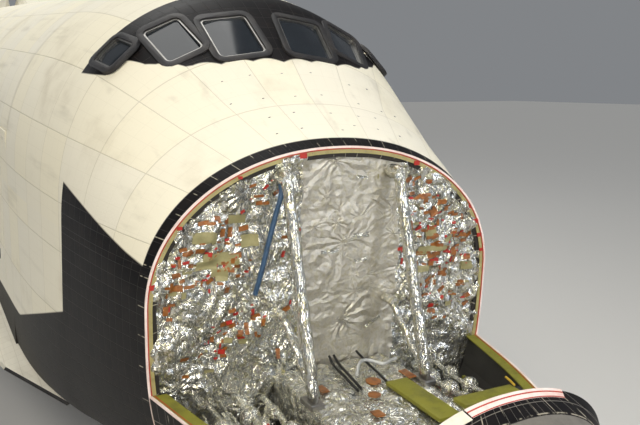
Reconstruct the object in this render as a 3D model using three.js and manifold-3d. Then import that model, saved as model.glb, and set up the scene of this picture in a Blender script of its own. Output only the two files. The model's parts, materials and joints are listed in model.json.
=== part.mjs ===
// A winged spaceplane standing on its landing gear, with its forward thruster module lifted out of the nose.
// Millimetres. +X is the craft's left, -Y is towards the nose and +Z is up.
// The tables give places as the craft's own drawings do, in inches: side is the distance left of the
// middle plane, station the distance aft of a datum ahead of the nose, water the height above a datum.
import * as THREE from "three";
import { mergeVertices } from "three/addons/utils/BufferGeometryUtils.js";
import Module from "manifold-3d";

const wasm = await Module();
wasm.setup();

// Driving dimensions, in inches where the tables use them.
const inch = 25.4;
const middleStation = 970;
const bellyWater = 270;
const noseDownDegrees = 3.4;
const seatGap = 0.012; // between two pieces that meet, 0.3 mm
const runningGap = 0.3; // between pieces that move past each other, 7.6 mm
const bore = 0.02; // round a pin, 0.5 mm
const ringPoints = 32;

const fuselage = { capAft: 259.5, ringAft: 268, bulkhead: 378, cabinAft: 582, bayAft: 1303, base: 1515 };
const wall = 4.5;
const sill = { fore: 331, aft: 335 }; // height of the open nose bay's edge at its two ends
const bay = { radius: 90, centre: 400, halfWidth: 103, doorFoot: 416, doorThickness: 4.2 };
const hinge = { elevonStation: 1387, flapStation: 1532, flapWater: 287, doorSide: 104.4, doorWater: 416.2 };
const mainGear = {
  side: 136, station: 1172, ground: 165, tyreRadius: 22.25, tyreWidth: 15.5, wheelOffset: 17.5,
};
const noseGear = { station: 367, tyreRadius: 16, tyreWidth: 8.8, wheelOffset: 11.2 };
const tyreSides = 24;
const noseWell = { fore: 292, aft: 373.5, halfWidth: 22, top: 322 };
// The open nose bay: a raised box over the wheel well, a deeper pit each side of it and a beam across each pit.
const noseBay = { boxHalfWidth: 27, boxTop: 334, pitFloor: 300, beamFore: 320, beamAft: 327 };
const braces = {
  side: 26.5, footStation: 345, topStation: 372, longTop: 418, shortTop: 361, longRadius: 2.5, shortRadius: 1.6,
};
const mainWell = { fore: 1046, aft: 1196, inner: 112, outer: 168, top: 306 };

const tilt = THREE.MathUtils.degToRad(noseDownDegrees);

const finishes = {
  whiteTile: { color: 0xe9e6da, roughness: 0.8, metalness: 0 },
  blackTile: { color: 0x1d1c1e, roughness: 0.6, metalness: 0 },
  greyCarbon: { color: 0x6d6a64, roughness: 0.55, metalness: 0.1 },
  foil: { color: 0xb8b8b4, roughness: 0.3, metalness: 0.8 },
  primer: { color: 0x8f8f3c, roughness: 0.6, metalness: 0.1 },
  glass: { color: 0x101418, roughness: 0.05, metalness: 0 },
  nozzleMetal: { color: 0x77706a, roughness: 0.35, metalness: 0.9 },
  gearMetal: { color: 0xc4c6c6, roughness: 0.4, metalness: 0.6 },
  rubber: { color: 0x18181a, roughness: 0.8, metalness: 0 },
  cabinGrey: { color: 0x6a6e70, roughness: 0.7, metalness: 0 },
};

const at = (side, station, water) => [
  side * inch,
  (station - middleStation) * inch,
  (water - bellyWater) * inch,
];

// Solids

function solidFrom(points, triangles) {
  const vertProperties = new Float32Array(points.flat());
  const build = (order) =>
    new wasm.Manifold(new wasm.Mesh({ numProp: 3, vertProperties, triVerts: new Uint32Array(order) }));
  const made = build(triangles);
  if (made.volume() > 0) return made;
  const turned = [];
  for (let i = 0; i < triangles.length; i += 3) turned.push(triangles[i], triangles[i + 2], triangles[i + 1]);
  return build(turned);
}

function solidOf(geometry) {
  const bare = geometry.index ? geometry.toNonIndexed() : geometry.clone();
  bare.deleteAttribute("normal");
  bare.deleteAttribute("uv");
  const merged = mergeVertices(bare, 1e-3);
  const place = merged.attributes.position;
  const points = [];
  for (let i = 0; i < place.count; i++) points.push([place.getX(i), place.getY(i), place.getZ(i)]);
  const index = [];
  for (let i = 0; i < merged.index.count; i += 3) {
    const [a, b, c] = [0, 1, 2].map((k) => merged.index.getX(i + k));
    if (a !== b && b !== c && c !== a) index.push(a, b, c);
  }
  return solidFrom(points, index);
}

// Skin through rings of equal count, closed at both ends.
function loft(rings) {
  const count = rings[0].length;
  const points = rings.flat();
  const triangles = [];
  for (let r = 0; r < rings.length - 1; r++)
    for (let i = 0; i < count; i++) {
      const a = r * count + i;
      const b = r * count + ((i + 1) % count);
      triangles.push(a, b, b + count, a, b + count, a + count);
    }
  [0, rings.length - 1].forEach((r, end) => {
    const centre = [0, 1, 2].map((k) => rings[r].reduce((sum, p) => sum + p[k], 0) / count);
    points.push(centre);
    for (let i = 0; i < count; i++) {
      const a = r * count + i;
      const b = r * count + ((i + 1) % count);
      if (end === 0) triangles.push(b, a, points.length - 1);
      else triangles.push(a, b, points.length - 1);
    }
  });
  return solidFrom(points, triangles);
}

// An outline pushed straight along one axis. The outline's pairs are the other two of side, station, water.
function prism(axis, outline, from, to) {
  const shape = new THREE.Shape(outline.map(([u, v]) => new THREE.Vector2(u, v)));
  const geometry = new THREE.ExtrudeGeometry(shape, { depth: to - from, bevelEnabled: false });
  const place = geometry.attributes.position;
  for (let i = 0; i < place.count; i++) {
    const [u, v, w] = [place.getX(i), place.getY(i), place.getZ(i) + from];
    const [side, station, water] = { side: [w, u, v], station: [u, w, v], water: [u, v, w] }[axis];
    place.setXYZ(i, ...at(side, station, water));
  }
  return solidOf(geometry);
}

const block = (side, station, water) =>
  prism(
    "side",
    [[station[0], water[0]], [station[1], water[0]], [station[1], water[1]], [station[0], water[1]]],
    ...side,
  );

function rod(from, to, radius, sides = 12, endRadius = radius, spin = 0) {
  const start = new THREE.Vector3(...at(...from));
  const end = new THREE.Vector3(...at(...to));
  const way = end.clone().sub(start);
  const geometry = new THREE.CylinderGeometry(endRadius * inch, radius * inch, way.length(), sides);
  geometry.rotateY(spin);
  geometry.applyQuaternion(
    new THREE.Quaternion().setFromUnitVectors(new THREE.Vector3(0, 1, 0), way.clone().normalize()),
  );
  geometry.translate(...start.add(end).multiplyScalar(0.5).toArray());
  return solidOf(geometry);
}

// Room for a rod of this radius to turn in: its flats stand clear of the rod's corners.
function hole(from, to, radius, sides = 12, endRadius = radius) {
  const widen = (r) => (r + bore) / Math.cos(Math.PI / sides);
  return rod(from, to, widen(radius), sides, widen(endRadius), Math.PI / sides);
}

// A profile of [radius, distance along the axis] turned round an axis through a point.
function turned(profile, centre, direction, sides, spin = 0) {
  const geometry = new THREE.LatheGeometry(
    profile.map(([radius, along]) => new THREE.Vector2(radius * inch, along * inch)),
    sides,
  );
  geometry.rotateY(spin);
  const way = new THREE.Vector3(...direction).normalize();
  geometry.applyQuaternion(new THREE.Quaternion().setFromUnitVectors(new THREE.Vector3(0, 1, 0), way));
  geometry.translate(...at(...centre));
  return solidOf(geometry);
}

const join = (...solids) => solids.flat().reduce((whole, next) => whole.add(next));
const cut = (whole, ...tools) => tools.flat().reduce((rest, next) => rest.subtract(next), whole);
const mirrored = (solid) => solid.mirror([1, 0, 0]);
const bothWays = (solid) => solid.add(mirrored(solid));

function mesh(name, solid, finish) {
  const { vertProperties, triVerts, numProp } = solid.getMesh();
  const points = new Float32Array((vertProperties.length / numProp) * 3);
  for (let i = 0; i < points.length / 3; i++)
    points.set(vertProperties.subarray(i * numProp, i * numProp + 3), i * 3);
  const geometry = new THREE.BufferGeometry();
  geometry.setAttribute("position", new THREE.BufferAttribute(points, 3));
  geometry.setIndex(new THREE.BufferAttribute(new Uint32Array(triVerts), 1));
  geometry.computeVertexNormals();
  const made = new THREE.Mesh(geometry, new THREE.MeshStandardMaterial(finishes[finish]));
  made.name = name;
  return made;
}

const craft = new THREE.Group();
craft.rotation.x = tilt;
const root = new THREE.Group();
root.add(craft);
const put = (name, solid, finish) => craft.add(mesh(name, solid, finish));
const putPair = (name, solid, finish) => {
  put(name + "_left", solid, finish);
  put(name + "_right", mirrored(solid), finish);
};

// Forward fuselage

// Columns: station, half width, top, height of the widest line, bottom, roundness above, roundness below.
const noseSections = [
  [238.5, 4, 343, 339.5, 336, 2, 2],
  [241, 12.5, 350, 339, 327.5, 2, 2],
  [246, 21.5, 355.5, 339.3, 318.5, 2, 2],
  [252, 28.5, 359.2, 340, 311.5, 2, 2.05],
  [259.5, 35.5, 362.8, 341, 305, 2.05, 2.1],
  [268, 42.8, 367, 342, 299.5, 2.1, 2.2],
  [278, 49.5, 372.3, 344, 295.5, 2.12, 2.35],
  [300, 60, 384.8, 350, 289.5, 2.15, 2.6],
  [338, 73.5, 407, 360, 282.5, 2.15, 2.9],
  [378, 82.5, 430, 369, 278, 2.12, 3.2],
  [414, 89.6, 449, 377.6, 275, 2.18, 3.7],
  [464, 96.6, 488, 389, 272.4, 2.2, 5],
  [482, 98.5, 494.5, 392, 271.7, 2.1, 6],
  [515, 101, 500, 397, 270.8, 2.04, 8],
  [550, 102.5, 502.5, 400, 270.2, 2, 11],
  [582, 103, 503, 400, 270, 2, 14],
];

const power = (value, roundness) => Math.sign(value) * Math.abs(value) ** (2 / roundness);

// One ring of the fuselage; inset moves it inwards.
function ring([station, halfWidth, top, widest, bottom, above, below], inset = 0) {
  return Array.from({ length: ringPoints }, (_, i) => {
    const angle = (i / ringPoints) * 2 * Math.PI;
    const roundness = Math.sin(angle) >= 0 ? above : below;
    const height = Math.sin(angle) >= 0 ? top - inset - widest : widest - bottom - inset;
    return at(
      (halfWidth - inset) * power(Math.cos(angle), roundness),
      station,
      widest + height * power(Math.sin(angle), roundness),
    );
  });
}

// The row of the table at any station, between two of its rows.
function between(table, station) {
  const next = table.findIndex((row) => row[0] >= station);
  if (next <= 0) return [station, ...table[Math.max(next, 0)].slice(1)];
  const [low, high] = [table[next - 1], table[next]];
  const share = (station - low[0]) / (high[0] - low[0]);
  return low.map((value, i) => value + share * (high[i] - value));
}

function fuselageStretch(table, from, to, inset = 0) {
  const inner = table.filter((row) => row[0] > from + 0.5 && row[0] < to - 0.5);
  return loft([between(table, from), ...inner, between(table, to)].map((row) => ring(row, inset)));
}

function noseCap() {
  put("nose_cap", fuselageStretch(noseSections, 238.5, fuselage.capAft - seatGap), "greyCarbon");
}

function noseShell() {
  const { capAft, ringAft, bulkhead } = fuselage;
  const skin = fuselageStretch(noseSections, capAft, bulkhead - seatGap);
  const aboveSill = [[ringAft, sill.fore], [bulkhead + 1, sill.aft], [bulkhead + 1, 450], [ringAft, 450]];
  const lifted = prism("side", aboveSill, -100, 100);
  const { boxHalfWidth, boxTop, pitFloor, beamFore, beamAft } = noseBay;
  const pit = (from, to) => bothWays(block([boxHalfWidth, 100], [from, to], [pitFloor, boxTop + 1]));
  const room = join(
    block([-100, 100], [ringAft, bulkhead + 2], [boxTop, 450]),
    pit(ringAft, beamFore),
    pit(beamAft, bulkhead + 2),
  );
  const inside = fuselageStretch(noseSections, ringAft, bulkhead + 4, wall).intersect(room);
  const { fore, aft, halfWidth, top } = noseWell;
  const well = block([-halfWidth, halfWidth], [fore, aft], [250, top]);
  const hollowAhead = fuselageStretch(noseSections, capAft - 2, ringAft + 1, wall + 1).intersect(
    block([-100, 100], [capAft - 2, ringAft + 1], [320, 440]),
  );
  put("nose_shell", cut(skin, lifted, inside, well, hollowAhead), "blackTile");
}

const cabinInside = (inset = wall) =>
  fuselageStretch(noseSections, fuselage.bulkhead - 2, fuselage.cabinAft + 2, inset);

// A long and a short brace from the bulkhead's face down to one foot on the raised box.
function braceSolid(face) {
  const { side, footStation, topStation, longTop, shortTop, longRadius, shortRadius } = braces;
  const footWater = noseBay.boxTop + seatGap;
  const foot = [side, footStation, footWater + 4];
  const strut = (top, radius) =>
    join(
      rod([side, topStation, top], foot, radius, 12),
      rod([side, topStation - 1, top], [side, face + 1, top], radius * 1.15, 12),
    );
  const shoe = block([side - 3, side + 3], [footStation - 4, footStation + 6], [footWater, footWater + 5]);
  return join(strut(longTop, longRadius), strut(shortTop, shortRadius), shoe);
}

function bulkheads() {
  const { bulkhead, cabinAft } = fuselage;
  const fill = cabinInside(wall + seatGap);
  const face = bulkhead + 2.5;
  const front = fill.intersect(block([-110, 110], [face, bulkhead + 5], [260, 520]));
  put("forward_bulkhead", join(front, bothWays(braceSolid(face))), "foil");
  const rear = fill.intersect(block([-110, 110], [cabinAft - 6, cabinAft - 2.5], [260, 520]));
  put("cabin_aft_bulkhead", rear, "primer");
}

// Columns: station, angle round the ring in degrees, half width, half height of each pane, in inches.
const panes = [
  [446.5, 80.2, 12.4, 14.5],
  [453, 63.6, 10.2, 13.2],
  [468, 46.6, 8.6, 11],
];

// A pane's outline, as a prism square to the skin. Grow makes it larger all round.
function panePrism([station, degrees, halfWidth, halfHeight], grow) {
  const spot = (s, a) => {
    const [, half, top, widest, , above] = between(noseSections, s);
    return new THREE.Vector3(
      ...at(half * power(Math.cos(a), above), s, widest + (top - widest) * power(Math.sin(a), above)),
    );
  };
  const angle = THREE.MathUtils.degToRad(degrees);
  const centre = spot(station, angle);
  const across = spot(station, angle - 0.05).sub(spot(station, angle + 0.05)).normalize();
  const back = spot(station + 4, angle).sub(spot(station - 4, angle));
  const outward = new THREE.Vector3().crossVectors(across, back).normalize();
  back.crossVectors(outward, across).normalize();
  const shape = new THREE.Shape();
  const [w, h, r] = [(halfWidth + grow) * inch, (halfHeight + grow) * inch, 3.5 * inch];
  shape.moveTo(-w + r, -h).lineTo(w - r, -h).absarc(w - r, -h + r, r, -Math.PI / 2, 0);
  shape.lineTo(w, h - r).absarc(w - r, h - r, r, 0, Math.PI / 2);
  shape.lineTo(-w + r, h).absarc(-w + r, h - r, r, Math.PI / 2, Math.PI);
  shape.lineTo(-w, -h + r).absarc(-w + r, -h + r, r, Math.PI, 1.5 * Math.PI);
  const depth = 24 * inch;
  const geometry = new THREE.ExtrudeGeometry(shape, { depth, bevelEnabled: false, curveSegments: 1 });
  geometry.translate(0, 0, -depth / 2);
  geometry.applyMatrix4(new THREE.Matrix4().makeBasis(across, back, outward).setPosition(centre));
  return solidOf(geometry);
}

const attach = { foreWater: 275, foreRadius: 5, aftStation: 1317, aftSide: 96, aftWater: 268, aftRadius: 6 };
const hatch = { station: 508, water: 367, radius: 20 };

function cabin() {
  const { bulkhead, cabinAft } = fuselage;
  const skin = fuselageStretch(noseSections, bulkhead, cabinAft);
  const shell = cut(skin, cabinInside());
  const half = panes.map((pane) => panePrism(pane, 0));
  const holes = [...half, ...half.map(mirrored)];
  const through = (radius) => rod([80, hatch.station, hatch.water], [120, hatch.station, hatch.water], radius, 24);
  const doorway = through(hatch.radius);
  const edge = between(noseSections, hatch.station + 8)[1];
  const pivot = [edge + 0.9, hatch.water - hatch.radius - 0.6];
  const line = (from, to) => [[pivot[0], from, pivot[1]], [pivot[0], to, pivot[1]]];
  const barrel = (from, to, radius) => rod(...line(from, to), radius, 8);
  const [fore, aft] = [hatch.station - 4, hatch.station + 4];
  const foot = block([edge - 1, pivot[0] + 0.2], [fore, aft], [pivot[1] - 2.4, pivot[1]]);
  const tankPad = rod([0, 391, 285], [0, 391, attach.foreWater], attach.foreRadius, 16);
  const hingeParts = [barrel(fore, aft, 0.8), foot, barrel(fore - 2, aft + 2, 0.35)];
  put("cabin_shell", join(cut(shell, holes, doorway), tankPad, hingeParts), "whiteTile");

  const disc = through(hatch.radius - runningGap);
  const knuckles = [fore - 3.2, aft + 0.2].map((start) =>
    cut(
      join(
        barrel(start, start + 3, 0.8),
        block([edge + 0.15, pivot[0] + 0.4], [start, start + 3], [pivot[1], pivot[1] + 4.5]),
        block([edge - 3, pivot[0]], [start, start + 3], [pivot[1] + 2.8, pivot[1] + 4.5]),
      ),
      hole(...line(start - 1, start + 4), 0.35, 8),
    ),
  );
  put("crew_hatch", join(shell.intersect(disc), knuckles), "whiteTile");

  const thinSkin = cut(
    fuselageStretch(noseSections, bulkhead, cabinAft, 0.9),
    fuselageStretch(noseSections, bulkhead - 1, cabinAft + 1, 2.1),
  );
  panes.forEach((pane, i) =>
    putPair(`window_${i + 1}`, panePrism(pane, -seatGap).intersect(thinSkin), "glass"),
  );
}

function flightDeck() {
  const { bulkhead, cabinAft } = fuselage;
  const floor = cabinInside(wall + seatGap).intersect(
    block([-110, 110], [bulkhead + 6, cabinAft - 7], [412, 415]),
  );
  const console = prism("side", [[405, 414], [424, 414], [424, 431], [411, 425]], -52, 52);
  const pedestal = block([-8, 8], [423, 446], [414, 426]);
  const seat = (side) =>
    join(
      block([side - 10, side + 10], [448, 468], [414, 430]),
      prism("side", [[464, 428], [469, 428], [476, 462], [471, 463]], side - 10, side + 10),
    );
  put("flight_deck", join(floor, console, pedestal, seat(24), seat(-24)), "cabinGrey");
}

// Mid fuselage and its doors

function arc(radius, centre, fromDegrees, toDegrees, steps) {
  return Array.from({ length: steps + 1 }, (_, i) => {
    const angle = THREE.MathUtils.degToRad(fromDegrees + ((toDegrees - fromDegrees) * i) / steps);
    return [centre[0] + radius * Math.cos(angle), centre[1] + radius * Math.sin(angle)];
  });
}

// A row of hinge barrels along the craft: fixed ones with pins that stand into the moving ones beside them.
function barrelHinge(side, water, places, radius, half, fixedTab, movingTab) {
  const line = (from, to, r) => rod([side, from, water], [side, to, water], r, 8);
  const pin = radius * 0.45;
  const fixed = places.map((place) =>
    join(
      line(place - half, place + half, radius),
      line(place - half - 2, place + half + 2, pin),
      fixedTab(place - half, place + half),
    ),
  );
  const moving = places.flatMap((place) =>
    [-1, 1].map((end) => {
      const near = place + end * (half + 0.2);
      const far = near + end * 3;
      const [from, to] = [Math.min(near, far), Math.max(near, far)];
      const room = hole([side, from - 1, water], [side, to + 1, water], pin, 8);
      return cut(join(line(from, to, radius), movingTab(from, to)), room);
    }),
  );
  return { fixed, moving };
}

function midFuselage() {
  const { cabinAft, bayAft } = fuselage;
  const { radius, centre, halfWidth, doorFoot, doorThickness } = bay;
  const [from, to] = [cabinAft + seatGap, bayAft - seatGap];
  const corner = arc(7, [halfWidth - 7, 277], -90, 0, 3);
  const trough = [
    ...corner,
    [halfWidth, doorFoot - runningGap],
    [radius, doorFoot - runningGap],
    ...arc(radius, [0, centre], 0, -180, 17),
    [-radius, doorFoot - runningGap],
    [-halfWidth, doorFoot - runningGap],
    ...corner.map(([side, water]) => [-side, water]).reverse(),
  ];
  const [skin, lining] = [halfWidth, halfWidth - doorThickness].map((r) =>
    arc(r, [0, centre], THREE.MathUtils.radToDeg(Math.asin((doorFoot - centre) / r)), 90 - 0.12, 10),
  );
  const door = prism("station", [...skin, ...lining.reverse()], from + runningGap, to - runningGap);
  const { doorSide, doorWater } = hinge;
  const places = [650, 942, 1235];
  const made = barrelHinge(
    doorSide, doorWater, places, 0.9, 3,
    (a, b) => block([halfWidth - 0.5, doorSide + 0.1], [a + 0.1, b - 0.1], [doorWater - 2.5, doorWater - 0.3]),
    (a, b) => block([halfWidth - 3, doorSide + 0.1], [a + 0.1, b - 0.1], [doorWater + 0.3, doorWater + 2.2]),
  );
  const bays = join(prism("station", trough, from, to), made.fixed, made.fixed.map(mirrored));
  put("mid_fuselage", bays, "whiteTile");
  putPair("payload_door", join(door, made.moving), "whiteTile");
}

// Aft fuselage, fin, pods and engines

// Same columns as the nose sections.
const aftSections = [
  [1303, 103, 503, 400, 270, 2, 14],
  [1360, 104.5, 503, 400, 270, 2.2, 14],
  [1430, 108, 503, 400, 271, 2.6, 12],
  [1530, 112, 500, 398, 279, 3.2, 10],
];

// Columns: station, side, height of the middle, half width, half height.
const podSections = [
  [1308, 60, 481, 24, 13],
  [1330, 63, 485, 41, 30],
  [1370, 69, 489, 50, 43],
  [1420, 79, 492, 55, 50],
  [1470, 89, 493, 54, 53],
  [1515, 96, 492, 50, 51],
  [1545, 99, 490, 44, 45],
  [1560, 100, 488, 38, 38],
];

// Columns: name, side, station and water of the gimbal, degrees up, degrees outwards.
const engines = [
  ["upper", 0, 1445, 443, 16, 0],
  ["left", 53, 1468, 342.6, 10, 3.5],
  ["right", -53, 1468, 342.6, 10, -3.5],
];
const dome = { radius: 54, thickness: 2, fromDegrees: 14, toDegrees: 47 };
const engineRoom = { radius: 50.5, back: -9, clearance: 1, mouth: 34 };
// The gimbal is a cross of two pins, each held in a fork: the craft's above and below, the engine's at the sides.
const gimbal = {
  pin: 1.2, reach: 6.5, core: 2.6, coreHalf: 3.4, arm: [4.2, 6.4], armHalf: 1.7, tip: 1.8, root: 8,
};
const baseSlope = 0.21; // the base's lean, station for each inch of height

const baseStation = (water) => 1514 - (water - 342.6) * baseSlope;

function engineWay(up, out) {
  const [a, b] = [up, out].map(THREE.MathUtils.degToRad);
  return new THREE.Vector3(Math.sin(b) * Math.cos(a), Math.cos(b) * Math.cos(a), Math.sin(a));
}

const along = ([side, station, water], way, distance) => [
  side + way.x * distance,
  station + way.y * distance,
  water + way.z * distance,
];

// One half of a gimbal, drawn with its axis along +Y at the datum and then set in place.
function gimbalFork([, side, station, water, up, out], half) {
  const { pin, reach, core, coreHalf, arm, armHalf, tip, root } = gimbal;
  const spot = (x, y, z) => [x, middleStation + y, bellyWater + z];
  const box = (x, y, z) => block(x, y.map((v) => v + middleStation), z.map((v) => v + bellyWater));
  const upright = (radius) => [spot(0, 0, -reach), spot(0, 0, reach), radius, 8];
  const level = (radius) => [spot(-reach, 0, 0), spot(reach, 0, 0), radius, 8];
  const ends = (far) => [arm, arm.map((v) => -v).reverse()].map(far);
  const made = {
    craft: () =>
      cut(
        join(
          rod(spot(0, -root - 3, 0), spot(0, -root + 0.5, 0), root, 12),
          ends((z) => box([-armHalf, armHalf], [-root, tip], z)),
        ),
        hole(...upright(pin)),
      ),
    cross: () =>
      join(
        rod(spot(-coreHalf, 0, 0), spot(coreHalf, 0, 0), core, 10),
        rod(...upright(pin)),
        rod(...level(pin)),
      ),
    engine: () => cut(join(ends((x) => box(x, [-tip, root + 1], [-armHalf, armHalf]))), hole(...level(pin))),
  }[half]();
  const turn = new THREE.Matrix4().makeRotationZ(-THREE.MathUtils.degToRad(out));
  turn.multiply(new THREE.Matrix4().makeRotationX(THREE.MathUtils.degToRad(up)));
  turn.setPosition(...at(side, station, water));
  return made.transform(turn.elements);
}

function tankPads(grow) {
  const { aftStation, aftSide, aftWater, aftRadius } = attach;
  return [-aftSide, aftSide].map((side) =>
    rod([side, aftStation, 290 + grow], [side, aftStation, aftWater - grow], aftRadius + grow, 16),
  );
}

function aftFuselage() {
  const skin = fuselageStretch(aftSections, fuselage.bayAft, 1530);
  const behind = prism(
    "side",
    [[baseStation(296), 296], [1545, 296], [1545, 540], [baseStation(540), 540]],
    -150, 150,
  );
  const { radius, back, clearance, mouth } = engineRoom;
  const ball = dome.radius + clearance;
  const degreesAt = (r) => THREE.MathUtils.radToDeg(Math.acos(r / ball));
  const rounded = arc(ball, [0, 0], degreesAt(radius), degreesAt(mouth), 3);
  const profile = [[0, back], [radius, back], ...rounded, [mouth, 120], [0, 120]];
  const pockets = engines.map(([, side, station, water, up, out]) =>
    turned(profile, [side, station, water], engineWay(up, out).toArray(), 20),
  );
  const mounts = engines.map((engine) => gimbalFork(engine, "craft"));
  const { flapStation, flapWater } = hinge;
  const groove = rod([-125, flapStation, flapWater], [125, flapStation, flapWater], 8.6, 16);
  const lugs = [-80, 0, 80].flatMap((side) => [
    block([side - 2, side + 2], [1510, flapStation], [flapWater - 3, flapWater + 3]),
    rod([side - 5, flapStation, flapWater], [side + 5, flapStation, flapWater], 1.4, 12),
  ]);
  const pads = tankPads(0);
  put("aft_fuselage", join(cut(skin, behind, pockets, groove), mounts, lugs, pads), "whiteTile");
}

function bodyFlap() {
  const { flapStation, flapWater } = hinge;
  const outline = [
    ...arc(8.2, [flapStation, flapWater], 90, 270, 8),
    [flapStation + 81, flapWater - 6],
    [flapStation + 81, flapWater - 4],
  ];
  const flap = prism("side", outline, -120.7, 120.7);
  const slots = [-80, 0, 80].flatMap((side) => [
    rod([side - 2.3, flapStation, flapWater], [side + 2.3, flapStation, flapWater], 9, 12),
    hole([side - 5.3, flapStation, flapWater], [side + 5.3, flapStation, flapWater], 1.4),
  ]);
  put("body_flap", cut(flap, slots), "blackTile");
}

function podSolid(grow = 0) {
  return loft(
    podSections.map(([station, side, water, halfWidth, halfHeight]) =>
      Array.from({ length: 24 }, (_, i) => {
        const angle = (i / 24) * 2 * Math.PI;
        return at(
          side + (halfWidth + grow) * power(Math.cos(angle), 2.4),
          station,
          water + (halfHeight + grow) * power(Math.sin(angle), 2.4),
        );
      }),
    ),
  );
}

const podNozzle = { side: 98, station: 1562, water: 487, up: 15.8, out: 12 };

function pods() {
  const room = bothWays(fuselageStretch(aftSections, fuselage.bayAft - 3, 1530, -seatGap));
  const centre = [podNozzle.side, podNozzle.station, podNozzle.water];
  const way = engineWay(podNozzle.up, podNozzle.out);
  putPair("pod", cut(podSolid(), room), "whiteTile");
  const bell = [[5, -5], [5, 2], [9, 8], [16, 24], [21.5, 46], [20.7, 46], [15, 24], [0, 8]];
  const nozzle = turned([[0, -5], ...bell], centre, way.toArray(), 16);
  const podEnd = loft(podSections.slice(-2).map((section) => podRing(section, seatGap)));
  putPair("pod_nozzle", cut(nozzle, podEnd), "nozzleMetal");
}

function podRing([station, side, water, halfWidth, halfHeight], grow) {
  return Array.from({ length: 24 }, (_, i) => {
    const angle = (i / 24) * 2 * Math.PI;
    return at(
      side + (halfWidth + grow) * power(Math.cos(angle), 2.4),
      station + grow,
      water + (halfHeight + grow) * power(Math.sin(angle), 2.4),
    );
  });
}

function mainEngines() {
  engines.forEach(([name, side, station, water, up, out]) => {
    const way = engineWay(up, out);
    const centre = [side, station, water];
    const inner = dome.radius - dome.thickness;
    const [near, far] = [90 - dome.fromDegrees, 90 - dome.toDegrees];
    const shield = [...arc(dome.radius, [0, 0], near, far, 3), ...arc(inner, [0, 0], far, near, 3)];
    const outside = [
      [0, 7.5], [8, 7.5], [24, 15], [26, 38], [13, 56], [20, 72], [31, 100], [39.5, 132], [45.4, 168],
    ];
    const inside = [[43.6, 168], [37.6, 132], [29, 100], [18, 72], [0, 60]];
    const bell = turned([...outside, ...inside], centre, way.toArray(), 20);
    const plate = turned([...shield, shield[0]], centre, way.toArray(), 20);
    const engine = [name, side, station, water, up, out];
    put("main_engine_" + name, join(bell, plate, gimbalFork(engine, "engine")), "nozzleMetal");
    put("gimbal_cross_" + name, gimbalFork(engine, "cross"), "gearMetal");
  });
}

// Fin with its two-leaf rudder. Columns: height, station of the leading edge, chord.
const finRoot = { water: 497, lead: 1283.5, chord: 260 };
const finTip = { water: 816, lead: 1593.5, chord: 108.5 };
const rudder = { bottom: 568, top: 790, share: 0.6, opening: 49.3, roomBelow: 3.4, roomAbove: 5.4 };
const finThickness = 0.095;

const finAt = (water) => {
  const share = (water - finRoot.water) / (finTip.water - finRoot.water);
  return {
    lead: finRoot.lead + share * (finTip.lead - finRoot.lead),
    chord: finRoot.chord + share * (finTip.chord - finRoot.chord),
  };
};
const hingeAt = (water) => {
  const { lead, chord } = finAt(water);
  return [0, lead + chord * rudder.share, water];
};
const halfThickness = (water) => (finAt(water).chord * finThickness) / 2;

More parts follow.
